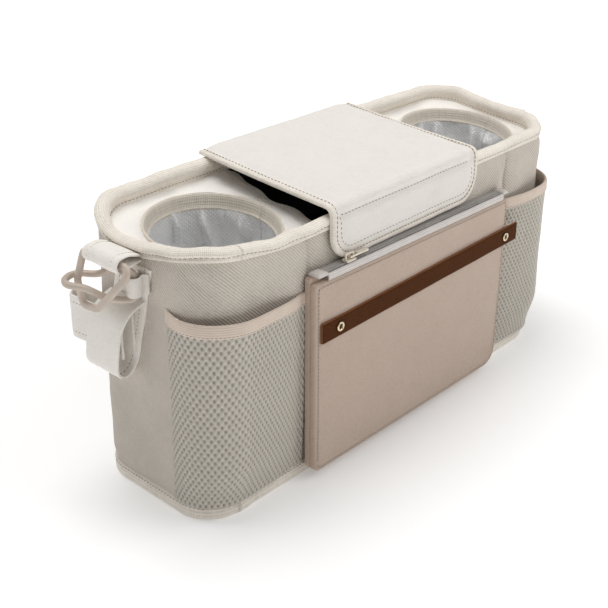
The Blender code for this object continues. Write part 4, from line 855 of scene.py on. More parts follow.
def build_liner(side_name):
    """Loose foil bag: sharp folds run down it, deeper in the middle than at its sewn top."""
    side = STRAP_SIDES[side_name]
    floor = 0.0053
    count, levels = 220, 58
    outer, inner, uv = [], [], []
    for k in range(count):
        angle = 2 * math.pi * k / count
        outer_row, inner_row, uv_row = [], [], []
        for j in range(levels + 1):
            up = j / levels
            x0 = side * CUP_X + math.cos(angle) * 0.042
            y0 = CUP_Y + math.sin(angle) * 0.042
            top = deck_top(x0, y0) - 0.0085
            z = mix(floor + 0.001, top, up)
            free = ease((1 - up) / 0.07)
            twist = angle + 0.22 * lump((up * 2.0, side, 0.0), 0.5, 16) * (1 - up)
            spoke = (math.cos(twist) * 1.0, math.sin(twist) * 1.0, up * 1.5 + side * 3)
            fold = 1 - abs(lump(spoke, 0.42, 17)) * 4.6
            sharp = 1 - abs(lump(spoke, 0.21, 18)) * 4.0
            dip = 0.0050 * clamp(fold, -0.6, 1.0) * free + 0.0020 * clamp(sharp, -0.6, 1.0) * free
            base = mix(0.0385, LINER_TOP_RADIUS, ease(up * 1.4))
            radius = base - 0.0008 - max(dip, -0.0008)
            x = side * CUP_X + radius * math.cos(angle)
            y = CUP_Y + radius * math.sin(angle)
            inner_row.append(Vector((x, y, z)))
            x = side * CUP_X + (base + 0.0006) * math.cos(angle)
            y = CUP_Y + (base + 0.0006) * math.sin(angle)
            outer_row.append(Vector((x, y, z)))
            uv_row.append((angle * 0.042, z))
        outer.append(outer_row)
        inner.append(inner_row)
        uv.append(uv_row)
    made = slab("foil_liner_" + side_name, inner, outer, uv, FOIL, closed=True,
                replaced=("cup_liner_" + side_name,))
    points, faces, uvs = [], [], []
    rings = 18
    for layer in (0.0014, 0.0):
        for ring in range(1, rings + 1):
            radius = LINER_FLOOR_RADIUS * ring / rings
            for k in range(72):
                angle = 2 * math.pi * k / 72
                x = side * CUP_X + radius * math.cos(angle)
                y = CUP_Y + radius * math.sin(angle)
                wrinkle = 0.0009 * max(0.0, 1 - abs(lump((x, y, side), 0.016, 19)) * 3.0)
                points.append(Vector((x, y, floor + 0.0004 + layer + (wrinkle if layer else 0.0))))
                uvs.append([x, y])
    half = rings * 72
    for ring in range(rings - 1):
        for k in range(72):
            n = (k + 1) % 72
            a, b, c, d = ring * 72 + k, (ring + 1) * 72 + k, (ring + 1) * 72 + n, ring * 72 + n
            faces += [(a, b, c, d), (a + half, d + half, c + half, b + half)]
    faces.append(tuple(reversed(range(72))))
    faces.append(tuple(range(half, half + 72)))
    for k in range(72):
        n = (k + 1) % 72
        a, b = (rings - 1) * 72 + k, (rings - 1) * 72 + n
        faces.append((a, b, b + half, a + half))
    base = make_piece("foil_base_" + side_name, points, faces, uvs, FOIL)


def build_lining():
    """Dark lining of the middle: front and back sheets and floor, hung from the rim."""
    reach = 0.0832
    columns = 50
    outer, inner, uv = [], [], []
    levels = 26
    for k in range(columns + 1):
        x = mix(-reach, reach, k / columns)
        outer_row, inner_row, uv_row = [], [], []
        path = []
        for side in (-1, 1):
            near = HALF_WIDTH - (0.0068 if side > 0 else WALL)
            top = rim_top(x, side * near) - RIM_SKIRT - 0.0005
            column = []
            for j in range(levels + 1):
                z = mix(top, 0.0056, j / levels)
                y = half_sizes(z)[1] - WALL - 0.0004
                loose = 0.0012 * abs(lump((x, z, side * 2.0), 0.022, 20)) + 0.0006 * abs(lump((x, z, side),
                                                                                              0.009, 21))
                column.append((side * y, side * (y - 0.0009 - loose), z, max(z, 0.0066 + loose * 0.4)))
            if side > 0:
                column.reverse()
            path += column
        run = 0.0
        for j, (y, y_in, z, z_in) in enumerate(path):
            outer_row.append(Vector((x, y, z)))
            inner_row.append(Vector((x, y_in, z_in)))
            if j:
                run += math.hypot(y - path[j - 1][0], z - path[j - 1][2])
            uv_row.append((x, run))
        outer.append(outer_row)
        inner.append(inner_row)
        uv.append(uv_row)
    made = slab("cloth_middle_lining", inner, outer, uv, LINING, replaced=("middle_lining",))
    for side_name, side in STRAP_SIDES.items():
        outer, inner, uv = [], [], []
        for k in range(41):
            share = k / 40
            outer_row, inner_row, uv_row = [], [], []
            for j in range(41):
                width = half_sizes(0.1)[1] - WALL - 0.0016
                y = mix(-width, width, share)
                x = 0.0852
                top = deck_top(side * x, y) - 0.0034
                z = mix(0.0064, top, j / 40)
                loose = 0.0009 * lump((y, z, side), 0.03, 22)
                outer_row.append(Vector((side * (x + 0.0014), y, z)))
                inner_row.append(Vector((side * (x - 0.0012 - abs(loose)), y, z)))
                uv_row.append((y, z))
            outer.append(outer_row)
            inner.append(inner_row)
            uv.append(uv_row)
        made = slab("cloth_divider_" + side_name, inner, outer, uv, LINING,
                    replaced=("divider_" + side_name,))


# Lid

def lid_under(y):
    ridge_y = HALF_WIDTH - 0.0028
    return rim_top(0.0, ridge_y) + GAP * 2 + LID_SLOPE * (y - ridge_y)


def lid_path():
    """Middle of the lid's thickness from its back edge to its front edge, evenly divided."""
    points = []
    half = 0.0015
    fold_y = LID_FRONT_Y + LID_FOLD
    for k in range(60):
        y = mix(LID_BACK_Y, fold_y, k / 60)
        points.append((y, lid_under(y) + half))
    fold_z = lid_under(fold_y) + half
    slope = math.atan(LID_SLOPE)
    for k in range(11):
        angle = math.radians(90) + slope + (math.radians(90) - slope) * k / 10
        points.append((fold_y + LID_FOLD * math.cos(angle), fold_z - LID_FOLD + LID_FOLD * math.sin(angle)))
    last = points[-1][1]
    for k in range(1, 31):
        points.append((LID_FRONT_Y, mix(last, LID_LOW_Z, k / 30)))
    return points


LID_PATH = lid_path()
LID_RUN = [0.0]
for _a, _b in zip(LID_PATH, LID_PATH[1:]):
    LID_RUN.append(LID_RUN[-1] + math.dist(_a, _b))
LID_END = LID_RUN[-1]
LID_FOLD_RUN = LID_RUN[64]


def lid_place(x, run, out):
    """A point of the lid: x across, run along, out from the middle of its thickness."""
    run = clamp(run, 0.0, LID_END)
    low, high = 0, len(LID_RUN) - 1
    while high - low > 1:
        middle = (low + high) // 2
        if LID_RUN[middle] <= run:
            low = middle
        else:
            high = middle
    t = (run - LID_RUN[low]) / (LID_RUN[high] - LID_RUN[low])
    y = mix(LID_PATH[low][0], LID_PATH[high][0], t)
    z = mix(LID_PATH[low][1], LID_PATH[high][1], t)
    a = LID_PATH[max(low - 1, 0)]
    b = LID_PATH[min(high + 1, len(LID_PATH) - 1)]
    length = math.dist(a, b)
    normal = ((b[1] - a[1]) / length, -(b[0] - a[0]) / length)
    return Vector((LID_CENTRE + x, y + normal[0] * out, z + normal[1] * out + RIM_LEAN * x))


def lid_half(run, inset):
    left = LID_END - inset - run
    radius = LID_CORNER - inset
    width = LID_WIDTH / 2 - inset
    if left >= radius:
        return width
    drop = radius - max(left, 0.0)
    return width - radius + math.sqrt(max(radius * radius - drop * drop, 0.0))


def lid_lift(x, run):
    """Padding of the lid: fuller between its seams, pinched at the fold and at the border."""
    edge = min(LID_WIDTH / 2 - abs(x), LID_END - run)
    if LID_END - run < LID_CORNER and LID_WIDTH / 2 - abs(x) < LID_CORNER:
        dx = LID_CORNER - (LID_WIDTH / 2 - abs(x))
        dy = LID_CORNER - (LID_END - run)
        edge = LID_CORNER - math.hypot(dx, dy)
    lift = 0.0014 * ease((edge - 0.0055) / 0.010)
    lift -= 0.0020 * dent(run - LID_FOLD_RUN - 0.006, 0.0030) * ease((edge - 0.004) / 0.004)
    lift += 0.0007 * lump((x, run, 0.0), 0.040, 23) + 0.0003 * lump((x, run, 0.0), 0.012, 24)
    return lift


def lid_droop(x, run):
    """The free left edge of the lid sags a little in front of the rear rim."""
    share = math.sin(math.pi * clamp(run / LID_FOLD_RUN))
    return -0.0006 * share * dent(x + LID_WIDTH / 2, 0.030) - 0.0010 * share * dent(x - LID_WIDTH / 2, 0.030)


def build_lid():
    inset = 0.0046
    rows, columns = 130, 80
    runs = [mix(0.0, LID_END - inset, k / rows) for k in range(rows + 1)]

    def column(run):
        half = lid_half(run, inset)
        for j in range(columns + 1):
            x = mix(-half, half, j / columns)
            drop = Vector((0.0, 0.0, lid_droop(x, run)))
            yield (lid_place(x, run, 0.0013 + lid_lift(x, run)) + drop,
                   lid_place(x, run, -0.0013) + drop, (x, run))

    outer, inner, uv = grid(runs, column)
    made = slab("cloth_flap_lid", outer, inner, uv, LINEN, "lid", replaced=("flap_lid",))
    return made


def lid_edge_line(inset):
    """Points (x, run) round the lid's free edge from the back left to the back right."""
    left = []
    end = LID_END - inset
    radius = LID_CORNER - inset
    width = LID_WIDTH / 2 - inset
    for k in range(90):
        left.append((-width, mix(0.0, end - radius, k / 90)))
    for k in range(25):
        angle = math.radians(90 * k / 24)
        left.append((-width + radius * (1 - math.cos(angle)), end - radius + radius * math.sin(angle)))
    for k in range(1, 40):
        left.append((mix(-width + radius, 0.0, k / 40), end))
    return left + [(0.0, end)] + [(-x, run) for x, run in reversed(left)]


def build_lid_binding():
    profile = [(0.0046, 0.0011), (0.0040, 0.0017), (0.0022, 0.0018), (0.0008, 0.0015), (0.0000, 0.0006),
               (0.0000, -0.0008), (0.0010, -0.0015), (0.0030, -0.0016), (0.0046, -0.0013), (0.0052, 0.0)]
    lines = [lid_edge_line(inset) for inset, _ in profile]
    sections, uv = [], []
    for k in range(len(lines[0])):
        x0, run0 = lines[0][k]
        wavy = 0.0003 * lump((x0, run0, 1.0), 0.012, 25)
        section = []
        for line, (_, out) in zip(lines, profile):
            x, run = line[k]
            drop = Vector((0.0, 0.0, lid_droop(x, run)))
            section.append(lid_place(x, run, out + wavy * (1 if out > 0 else 0)) + drop)
        sections.append(section)
        uv.append([(k * 0.0016, 0.0012 * j) for j in range(len(profile))])
    made = tube("lid_edge", sections, uv, RIM_CLOTH, "lid", closed=False, replaced=("flap_binding",))

    def out_of_lid(point):
        return Vector((0, -1, 0.05)) if point[1] < LID_FRONT_Y - 0.0005 else Vector((0, -0.08, 1))

    line = []
    for x, run in lid_edge_line(0.0044):
        line.append(lid_place(x, run, 0.0018) + Vector((0.0, 0.0, lid_droop(x, run))))
    stitches("lid_stitching", line, out_of_lid, THREAD_DARK, 0.0032, 0.0020, 0.00028, body="lid")
    fold_line = []
    for k in range(81):
        x = mix(-1.0, 1.0, k / 80) * (LID_WIDTH / 2 - 0.0095)
        run = LID_FOLD_RUN + 0.006
        fold_line.append(lid_place(x, run, 0.0013 + lid_lift(x, run) + 0.0002))
    stitches("lid_stitching_fold", fold_line, out_of_lid, THREAD_DARK, 0.0034, 0.0020, 0.00026, body="lid")
    inner_line = []
    for x, run in lid_edge_line(0.0085):
        if run > LID_FOLD_RUN + 0.006:
            inner_line.append(lid_place(x, run, 0.0013 + lid_lift(x, run) + 0.0001))
    stitches("lid_stitching_drop", inner_line, out_of_lid, THREAD_DARK, 0.0034, 0.0020, 0.00024, body="lid")


def build_lid_root():
    half = LID_WIDTH / 2 - 0.0048

    def column(k):
        x = mix(-half, half, k / 60)
        for j in range(21):
            near = HALF_WIDTH + 0.0018
            top = lid_under(near) - 0.0007 + RIM_LEAN * x
            z = top - LID_ROOT_HEIGHT * (1 - j / 20)
            edge = min(half - abs(x), z - top + LID_ROOT_HEIGHT)
            lift = 0.0006 * ease(edge / 0.003) + 0.0002 * lump((x, z, 0.0), 0.012, 26)
            yield (Vector((LID_CENTRE + x, near + 0.0009 + lift - 0.0003, z)),
                   Vector((LID_CENTRE + x, near - 0.0004, z)), (x, z))

    outer, inner, uv = grid(range(61), column)
    made = slab("cloth_flap_root", outer, inner, uv, LINEN, replaced=("flap_root",))
    line = [row[2] for row in outer]
    stitches("lid_root_stitching", line, lambda p: (0, 1, 0), THREAD_DARK, 0.0031, 0.0019, 0.00022)
    line = [row[15] for row in outer]
    stitches("lid_root_stitching_upper", line, lambda p: (0, 1, 0), THREAD_DARK, 0.0031, 0.0019, 0.00022)


# Mesh pockets

POCKET_FRONT_X = {"left": 0.103, "right": 0.118}
POCKET_SEAM = 0.0055
POCKET_TOP_END, POCKET_TOP_SEAM, POCKET_HEM, POCKET_FOOT = 0.1485, 0.1425, 0.0078, 0.0105
MESH_PITCH_U, MESH_PITCH_V = 0.0037, 0.0066


def pocket_grid(side_name, rows):
    """Runs, shares and stations of a side pocket from the end to the front seam."""
    start = run_of(end_station(-0.0245))
    stop = RUN_TOTAL + run_of(front_station(-POCKET_FRONT_X[side_name]))
    columns = int((stop - start) / 0.0008) if rows > 20 else int((stop - start) / 0.0011)
    out = []
    for k in range(columns + 1):
        run = mix(start, stop, k / columns)
        t = clamp((run - start) / (stop - start - POCKET_SEAM))
        out.append((run - start, t, station_of(run)))
    return out


def pocket_stand(t, z):
    base = 0.0004 + 0.0080 * math.sin(math.pi * t) ** 0.8
    base += (0.0012 * lump((t * 0.11, z, 0.0), 0.035, 27)) * math.sin(math.pi * t)
    foot = ease((z - 0.0125) / 0.030)
    return 0.0004 + (base - 0.0004) * (0.45 + 0.55 * foot)


def build_pocket(side_name):
    side = STRAP_SIDES[side_name]
    rows = 190

    def column(item):
        run, t, s = item
        top = mix(POCKET_TOP_END, POCKET_TOP_SEAM, t) - POCKET_HEM
        for j in range(rows + 1):
            z = mix(POCKET_FOOT, top, j / rows)
            u, v = run, z
            hole = math.cos(2 * math.pi * u / MESH_PITCH_U) * math.cos(2 * math.pi * v / MESH_PITCH_V)
            depth = 0.0012 * (0.5 + 0.5 * hole) ** 1.7
            stand = pocket_stand(t, z)
            point = shell_point(s, z, stand + 0.0015 - depth)
            outer_point = Vector((-side * point.x, point.y, point.z))
            point = shell_point(s, z, stand)
            yield outer_point, Vector((-side * point.x, point.y, point.z)), (u, v)

    outer, inner, uv = grid(pocket_grid(side_name, rows), column)
    made = slab("cloth_mesh_pocket_" + side_name, outer, inner, uv, MESH,
                replaced=("mesh_pocket_" + side_name,))
    width = pocket_grid(side_name, rows)[-1][0]
    build_elastic(side_name, side)


def build_elastic(side_name, side):
    profile = [(0.0, -0.0002), (0.0010, -0.0006), (0.0018, 0.0000), (0.0021, 0.0016), (0.0020, 0.0036),
               (0.0020, 0.0052), (0.0021, 0.0070), (0.0017, 0.0084), (0.0008, 0.0089), (-0.0001, 0.0084),
               (-0.0002, 0.0040)]
    sections, uv, low_line, top_line = [], [], [], []
    for run, t, s in pocket_grid(side_name, 1):
        top = mix(POCKET_TOP_END, POCKET_TOP_SEAM, t)
        section = []
        sway = 0.0005 * lump((run, 0.0, side), 0.020, 28)
        for out, up in profile:
            z = top - 0.0082 + up + sway
            point = shell_point(s, z, pocket_stand(t, z) + out)
            section.append(Vector((-side * point.x, point.y, point.z)))
        sections.append(section)
        uv.append([(run, 0.0011 * j) for j in range(len(profile))])
        low_line.append(section[3].lerp(section[2], 0.4))
        top_line.append(section[7])
    made = tube("cloth_pocket_elastic_" + side_name, sections, uv, ELASTIC, closed=False,
                replaced=("pocket_elastic_" + side_name,))
    stitches("elastic_stitching_" + side_name, low_line, outward, THREAD_DARK, 0.0026, 0.0017, 0.00022)
    # The band's end is folded over where it is sewn to the end of the caddy.
    fold_outer, fold_inner, fold_uv = [], [], []
    for k in range(13):
        run, t, s = pocket_grid(side_name, 1)[k]
        top = mix(POCKET_TOP_END, POCKET_TOP_SEAM, t)
        outer_row, inner_row, uv_row = [], [], []
        for j in range(6):
            z = top - 0.0002 + 0.0022 * j / 5 - 0.0012 * k / 12
            stand = pocket_stand(t, z)
            for row, out in ((outer_row, 0.0016), (inner_row, 0.0004)):
                point = shell_point(s, z, stand + out)
                row.append(Vector((-side * point.x, point.y, point.z)))
            uv_row.append((run, z))
        fold_outer.append(outer_row)
        fold_inner.append(inner_row)
        fold_uv.append(uv_row)
    fold = slab("elastic_fold_" + side_name, fold_outer, fold_inner, fold_uv, ELASTIC)


# Zipped pouch

POUCH_LEFT, POUCH_RIGHT, POUCH_LOW, POUCH_TOP = 0.0035 - 0.110, 0.0035 + 0.110, 0.0055, 0.150
POUCH_FRONT, POUCH_SPLIT, POUCH_BACK = -0.0705, -0.0660, -0.0610


def pouch_outline(radii, top, steps=8, inset=0.0):
    """Closed outline of the pouch, corners rounded, evenly divided, anticlockwise from the low left."""
    left, right, low = POUCH_LEFT + inset, POUCH_RIGHT - inset, POUCH_LOW + inset
    top -= inset
    corners = [((left, low), 180, radii[0]), ((right, low), 270, radii[1]), ((right, top), 0, radii[2]),
               ((left, top), 90, radii[3])]
    points = []
    for (x, z), start, radius in corners:
        radius = max(radius - inset, 0.0004)
        cx = x + radius if x < 0 else x - radius
        cz = z + radius if z == low else z - radius
        for k in range(steps + 1):
            angle = math.radians(start + 90 * k / steps)
            points.append((cx + radius * math.cos(angle), cz + radius * math.sin(angle)))
    return points


def panel(name, outline_at, front, back, material, edge, puff, seed, body="root", replaced=()):
    """A leather panel: rounded edge rows, then rings that close on its middle line, slightly padded."""
    thickness = back - front
    rings = [(0.0, thickness), (0.0, thickness * 0.55), (edge * 0.12, thickness * 0.22),
             (edge * 0.45, 0.0004),
             (edge, 0.0)]
    points, faces, uvs = [], [], []
    outline_sets = []
    for inset, depth in rings:
        outline_sets.append((outline_at(inset), depth))
    count = len(outline_sets[0][0])
    for outline, depth in outline_sets:
        for x, z in outline:
            points.append(Vector((x, front + depth, z)))
            uvs.append([x, z])
    for ring in range(len(rings) - 1):
        for k in range(count):
            n = (k + 1) % count
            faces.append((ring * count + k, ring * count + n, (ring + 1) * count + n, (ring + 1) * count + k))
    faces.append(tuple(reversed(range(count))))
    base = (len(rings) - 1) * count
    xs = [p[0] for p in outline_sets[-1][0]]
    zs = [p[1] for p in outline_sets[-1][0]]
    mesh = bpy.data.meshes.new(name)
    mesh.from_pydata([tuple(p) for p in points], [], faces)
    made_bm = bmesh.new()
    made_bm.from_mesh(mesh)
    made_bm.verts.ensure_lookup_table()
    rim = [made_bm.verts[base + k] for k in range(count)]
    made_bm.faces.new(rim)
    x_low, x_high, z_low, z_high = min(xs), max(xs), min(zs), max(zs)
    for axis, low, high, step in ((0, x_low, x_high, 0.0035), (2, z_low, z_high, 0.0035)):
        cuts = int((high - low) / step)
        for k in range(1, cuts):
            value = mix(low, high, k / cuts)
            place = Vector((0.0, 0.0, 0.0))
            place[axis] = value
            normal = Vector((0.0, 0.0, 0.0))
            normal[axis] = 1.0
            flat = [f for f in made_bm.faces if all(abs(v.co.y - front) < 1e-5 for v in f.verts)]
            geometry = flat + list({e for f in flat for e in f.edges}) + list({v for f in flat for v in f.verts})
            bmesh.ops.bisect_plane(made_bm, geom=geometry, plane_co=place, plane_no=normal)
    for vertex in made_bm.verts:
        if abs(vertex.co.y - front) < 1e-5:
            x, _, z = vertex.co
            distance = min(x - x_low, x_high - x, z - z_low, z_high - z)
            lift = puff * ease(distance / 0.02) + 0.0006 * lump((x, z, seed), 0.045, seed)
            lift += 0.0002 * lump((x, z, seed), 0.012, seed + 1)
            vertex.co.y -= lift * ease(distance / 0.004 + 0.15)
    bmesh.ops.recalc_face_normals(made_bm, faces=made_bm.faces)
    layer = made_bm.loops.layers.uv.new("UVMap")
    for f in made_bm.faces:
        for loop in f.loops:
            loop[layer].uv = (loop.vert.co.x, loop.vert.co.z + loop.vert.co.y)
    made_bm.to_mesh(mesh)
    made_bm.free()
    mesh.shade_smooth()
    mesh.set_sharp_from_angle(angle=math.radians(60))
    mesh.materials.append(material)
    made = bpy.data.objects.new(name, mesh)
    bpy.context.scene.collection.objects.link(made)
    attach(made, body)
    if replaced:
        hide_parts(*replaced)
    return made


def divided_outline(points, step):
    out = []
    for k, a in enumerate(points):
        b = points[(k + 1) % len(points)]
        count = max(1, round(math.dist(a, b) / step))
        for j in range(count):
            out.append((mix(a[0], b[0], j / count), mix(a[1], b[1], j / count)))
    return out


def build_pouch():
    radii = (0.006, 0.014, 0.002, 0.002)

    def front_outline(inset):
        return pouch_outline(radii, POUCH_TOP, inset=inset)

    def back_outline(inset):
        return pouch_outline(radii, 0.1536, inset=inset)

    back = panel("skin_pouch_back", back_outline, POUCH_SPLIT + 0.0002, POUCH_BACK, POUCH, 0.002, 0.0, 31,
                 replaced=("pouch_back",))
    front = panel("skin_pouch_front", front_outline, POUCH_FRONT, POUCH_SPLIT - 0.0001, POUCH, 0.003, 0.0004,
                  33,
                  replaced=("pouch_front",))
    line = divided_outline(front_outline(0.0030), 0.003)
    line = [Vector((x, POUCH_FRONT - 0.0003, z)) for x, z in line]
    stitches("pouch_stitching", line + [line[0]], lambda p: (0, -1, 0), THREAD_TAUPE, 0.0029, 0.0019, 0.00026)


def build_zip():
    left, right = -0.094, 0.106
    near = POUCH_FRONT
    sections, uv = [], []
    for k in range(81):
        x = mix(left, right, k / 80)
        sway = 0.0002 * lump((x, 0.0, 0.0), 0.02, 35)
        profile = [(near - 0.0001, 0.1501), (near - 0.0004, 0.1512), (near - 0.0002, 0.1530),
                   (near + 0.0001, 0.1548),
                   (near + 0.0006, 0.1552), (near + 0.0012, 0.1548), (near + 0.0010, 0.1501)]
        sections.append([Vector((x, y + sway, z)) for y, z in profile])
        uv.append([(x, 0.0009 * j) for j in range(len(profile))])
    made = tube("zip_front_tape", sections, uv, ZIP_TAPE, closed=False, replaced=("zip_tape_front",))
    sections, uv = [], []
    far = POUCH_BACK
    for k in range(81):
        x = mix(left, right, k / 80)
        sway = 0.00015 * lump((x, 1.0, 0.0), 0.015, 36)
        profile = [(-0.0656, 0.1540), (-0.0656, 0.1551), (-0.0646, 0.1555), (-0.0636, 0.1552),
                   (-0.0624, 0.1556),
                   (far, 0.1552), (far, 0.1540)]
        sections.append([Vector((x, y, z + sway)) for y, z in profile])
        uv.append([(x, 0.0010 * j) for j in range(len(profile))])
    made = tube("zip_back_tape", sections, uv, ZIP_TAPE_DARK, closed=False, replaced=("zip_tape_back",))
    points, faces, uvs = [], [], []
    centre = -0.0675
    pitch = 0.00135
    count = int((right - left) / pitch)
    for k in range(count):
        x0 = left + (k + 0.5) * pitch
        for side in (-1, 1):
            start = len(points)
            for share, wide, tall in ((0.0, 0.00035, 0.0005), (0.35, 0.00048, 0.0010), (0.8, 0.00048, 0.0010),
                                      (1.0, 0.00030, 0.0005)):
                y = centre + side * (-0.0002 + 0.0014 * share)
                for dx, dz in ((-1, -1), (1, -1), (1, 1), (-1, 1)):
                    points.append(Vector((x0 + side * pitch * 0.25 + dx * wide, y, 0.1545 + dz * tall)))
                    uvs.append([dx * wide, y])
            for ring in range(3):
                for c in range(4):
                    n = (c + 1) % 4
                    a = start + ring * 4
                    faces.append((a + c, a + n, a + 4 + n, a + 4 + c))
            faces.append(tuple(start + c for c in reversed(range(4))))
            faces.append(tuple(start + 12 + c for c in range(4)))
    made = make_piece("zip_coil_teeth", points, faces, uvs, TEETH, replaced=("zip_teeth",))
    for side_name, low_x, high_x in (("left", -0.1033, -0.0943), ("right", 0.1063, 0.1126)):

        def column(k):
            x = mix(low_x, high_x, k / 18)
            for j in range(17):
                y = mix(-0.0704, POUCH_BACK, j / 16)
                edge = min(x - low_x, high_x - x, y + 0.0704, POUCH_BACK - y)
                top = 0.1556 + 0.0008 * ease(edge / 0.0012) + 0.00015 * lump((x, y, 0.0), 0.002, 37)
                yield Vector((x, y, top)), Vector((x, y, 0.1540)), (x, y)

        outer, inner, uv = grid(range(19), column)
        made = slab("zip_stop_" + side_name, outer, inner, uv, ZIP_TAPE, replaced=("zip_end_" + side_name,))


def strip_low(x):
    return 0.1070 + 0.0055 * (x + 0.102) / 0.228


def build_strip():
    """Leather strip across the pouch: bevelled, with a lighter cut edge and thinned ends."""
    count = 150
    rows = 13
    front, back = -0.0732, -0.0708
    low_x, high_x, height = -0.102, 0.126, 0.014
    holes = [(-0.085, strip_low(-0.085) + height / 2), (0.1095, strip_low(0.1095) + height / 2)]

    def column(k):
        x = mix(low_x, high_x, k / count)
        end = min(x - low_x, high_x - x)
        for j in range(rows + 1):
            edge = min(j, rows - j) / rows * height
            z = strip_low(x) + height * j / rows
            round_off = 0.0005 * (1 - ease(edge / 0.0012)) + 0.0005 * (1 - ease(end / 0.0012))
            lump_y = 0.00015 * lump((x, z, 0.0), 0.02, 38)
            press = sum(0.0006 * dent(math.hypot(x - hx, z - hz) - 0.0042, 0.0012) for hx, hz in holes)
            yield Vector((x, front + round_off + lump_y + press, z)), Vector((x, back, z)), (x, z)

    outer, inner, uv = grid(range(count + 1), column)
    made = slab("leather_band", outer, inner, uv, STRAP_LEATHER, replaced=("leather_strip",))
    made.data.materials.append(STRAP_EDGE)
    for polygon in made.data.polygons:
        if abs(polygon.normal.y) < 0.55:
            polygon.material_index = 1
    for side_name, left, right in (("left", -0.1035, -0.0885), ("right", 0.0955, 0.1105)):

        def column(k):
            for j in range(13):
                x = mix(left, right, k / 12)
                z = mix(0.129, 0.139, j / 12)
                lift = 0.0002 * lump((x, z, 0.0), 0.006, 39)
                yield Vector((x, -0.0607 + abs(lift), z)), Vector((x, -0.0596, z)), (x, z)

        outer, inner, uv = grid(range(13), column)
        made = slab("hanger_" + side_name, outer, inner, uv, STRAP_LEATHER,
                    replaced=("pouch_hanger_" + side_name,))


# Straps at the ends, measured outward from the rim's end

BAR_OUT, BAR_Z = 0.0240, 0.1825


def end_out(side, y, z):
    band_low = rim_top(side * HALF_LENGTH, y) - RIM_BAND - GAP
    if z > band_low:
        return 0.0012
    return half_sizes(z)[0] - HALF_LENGTH


def smooth_path(path, step):
    """The same path with its corners rounded, divided into even steps."""
    points = [Vector((a, b, 0.0)) for a, b in path]
    for _ in range(3):
        cut = [points[0]]
        for a, b in zip(points, points[1:]):
            cut += [a.lerp(b, 0.25), a.lerp(b, 0.75)]
        points = cut + [points[-1]]
    even = resample(points, step)
    return [(p.x, p.y) for p in even] + [(points[-1].x, points[-1].y)]


def band(name, side, path, thickness, place, width_steps, seed, replaced, seams=(0.14, 0.86)):
    """Folded cloth strap along a path; place(a, b, share) gives (out, y, z) across its width."""
    path = smooth_path(path, 0.0011)
    outer, inner, uv = [], [], []
    run = 0.0
    for k, here in enumerate(path):
        before, after = path[max(k - 1, 0)], path[min(k + 1, len(path) - 1)]
        if k:
            run += math.dist(path[k - 1], here)
        step = math.dist(before, after)
        normal = (-(after[1] - before[1]) / step, (after[0] - before[0]) / step)
        outer_row, inner_row, uv_row = [], [], []
        for j in range(width_steps + 1):
            share = j / width_steps
            groove = sum(dent(share - seam, 0.022) for seam in seams)
            edge = min(share, 1 - share)
            half = thickness / 2 * (0.55 + 0.45 * ease(edge / 0.05)) - 0.00022 * groove
            half += 0.00012 * lump((run, share * 0.03, seed), 0.008, seed)
            drift = 0.0005 * lump((run, share * 0.05, seed), 0.022, seed + 1) * ease(run / 0.01)
            for row, shift in ((outer_row, half + drift), (inner_row, -half + drift)):
                a = here[0] + normal[0] * shift
                b = here[1] + normal[1] * shift
                out, y, z = place(here, (a, b), share)
                row.append(Vector((side * (HALF_LENGTH + out), y, z)))
            uv_row.append((share * 0.034, run))
        outer.append(outer_row)
        inner.append(inner_row)
        uv.append(uv_row)
    made = slab(name, outer, inner, uv, STRAP_CLOTH, replaced=replaced)
    for number, seam in enumerate(seams):
        column = round(seam * width_steps)
        line = [row[column] for row in outer]
        centres = [(row[column] - inner_row[column]).normalized() for row, inner_row in zip(outer, inner)]

        def facing(point, line=line, centres=centres):
            best = min(range(len(line)), key=lambda i: (line[i] - point).length_squared)
            return centres[best]

        stitches(f"{name}_stitching_{number}", line, facing, THREAD_DARK, 0.0031, 0.0019, 0.00022)
    return made, run


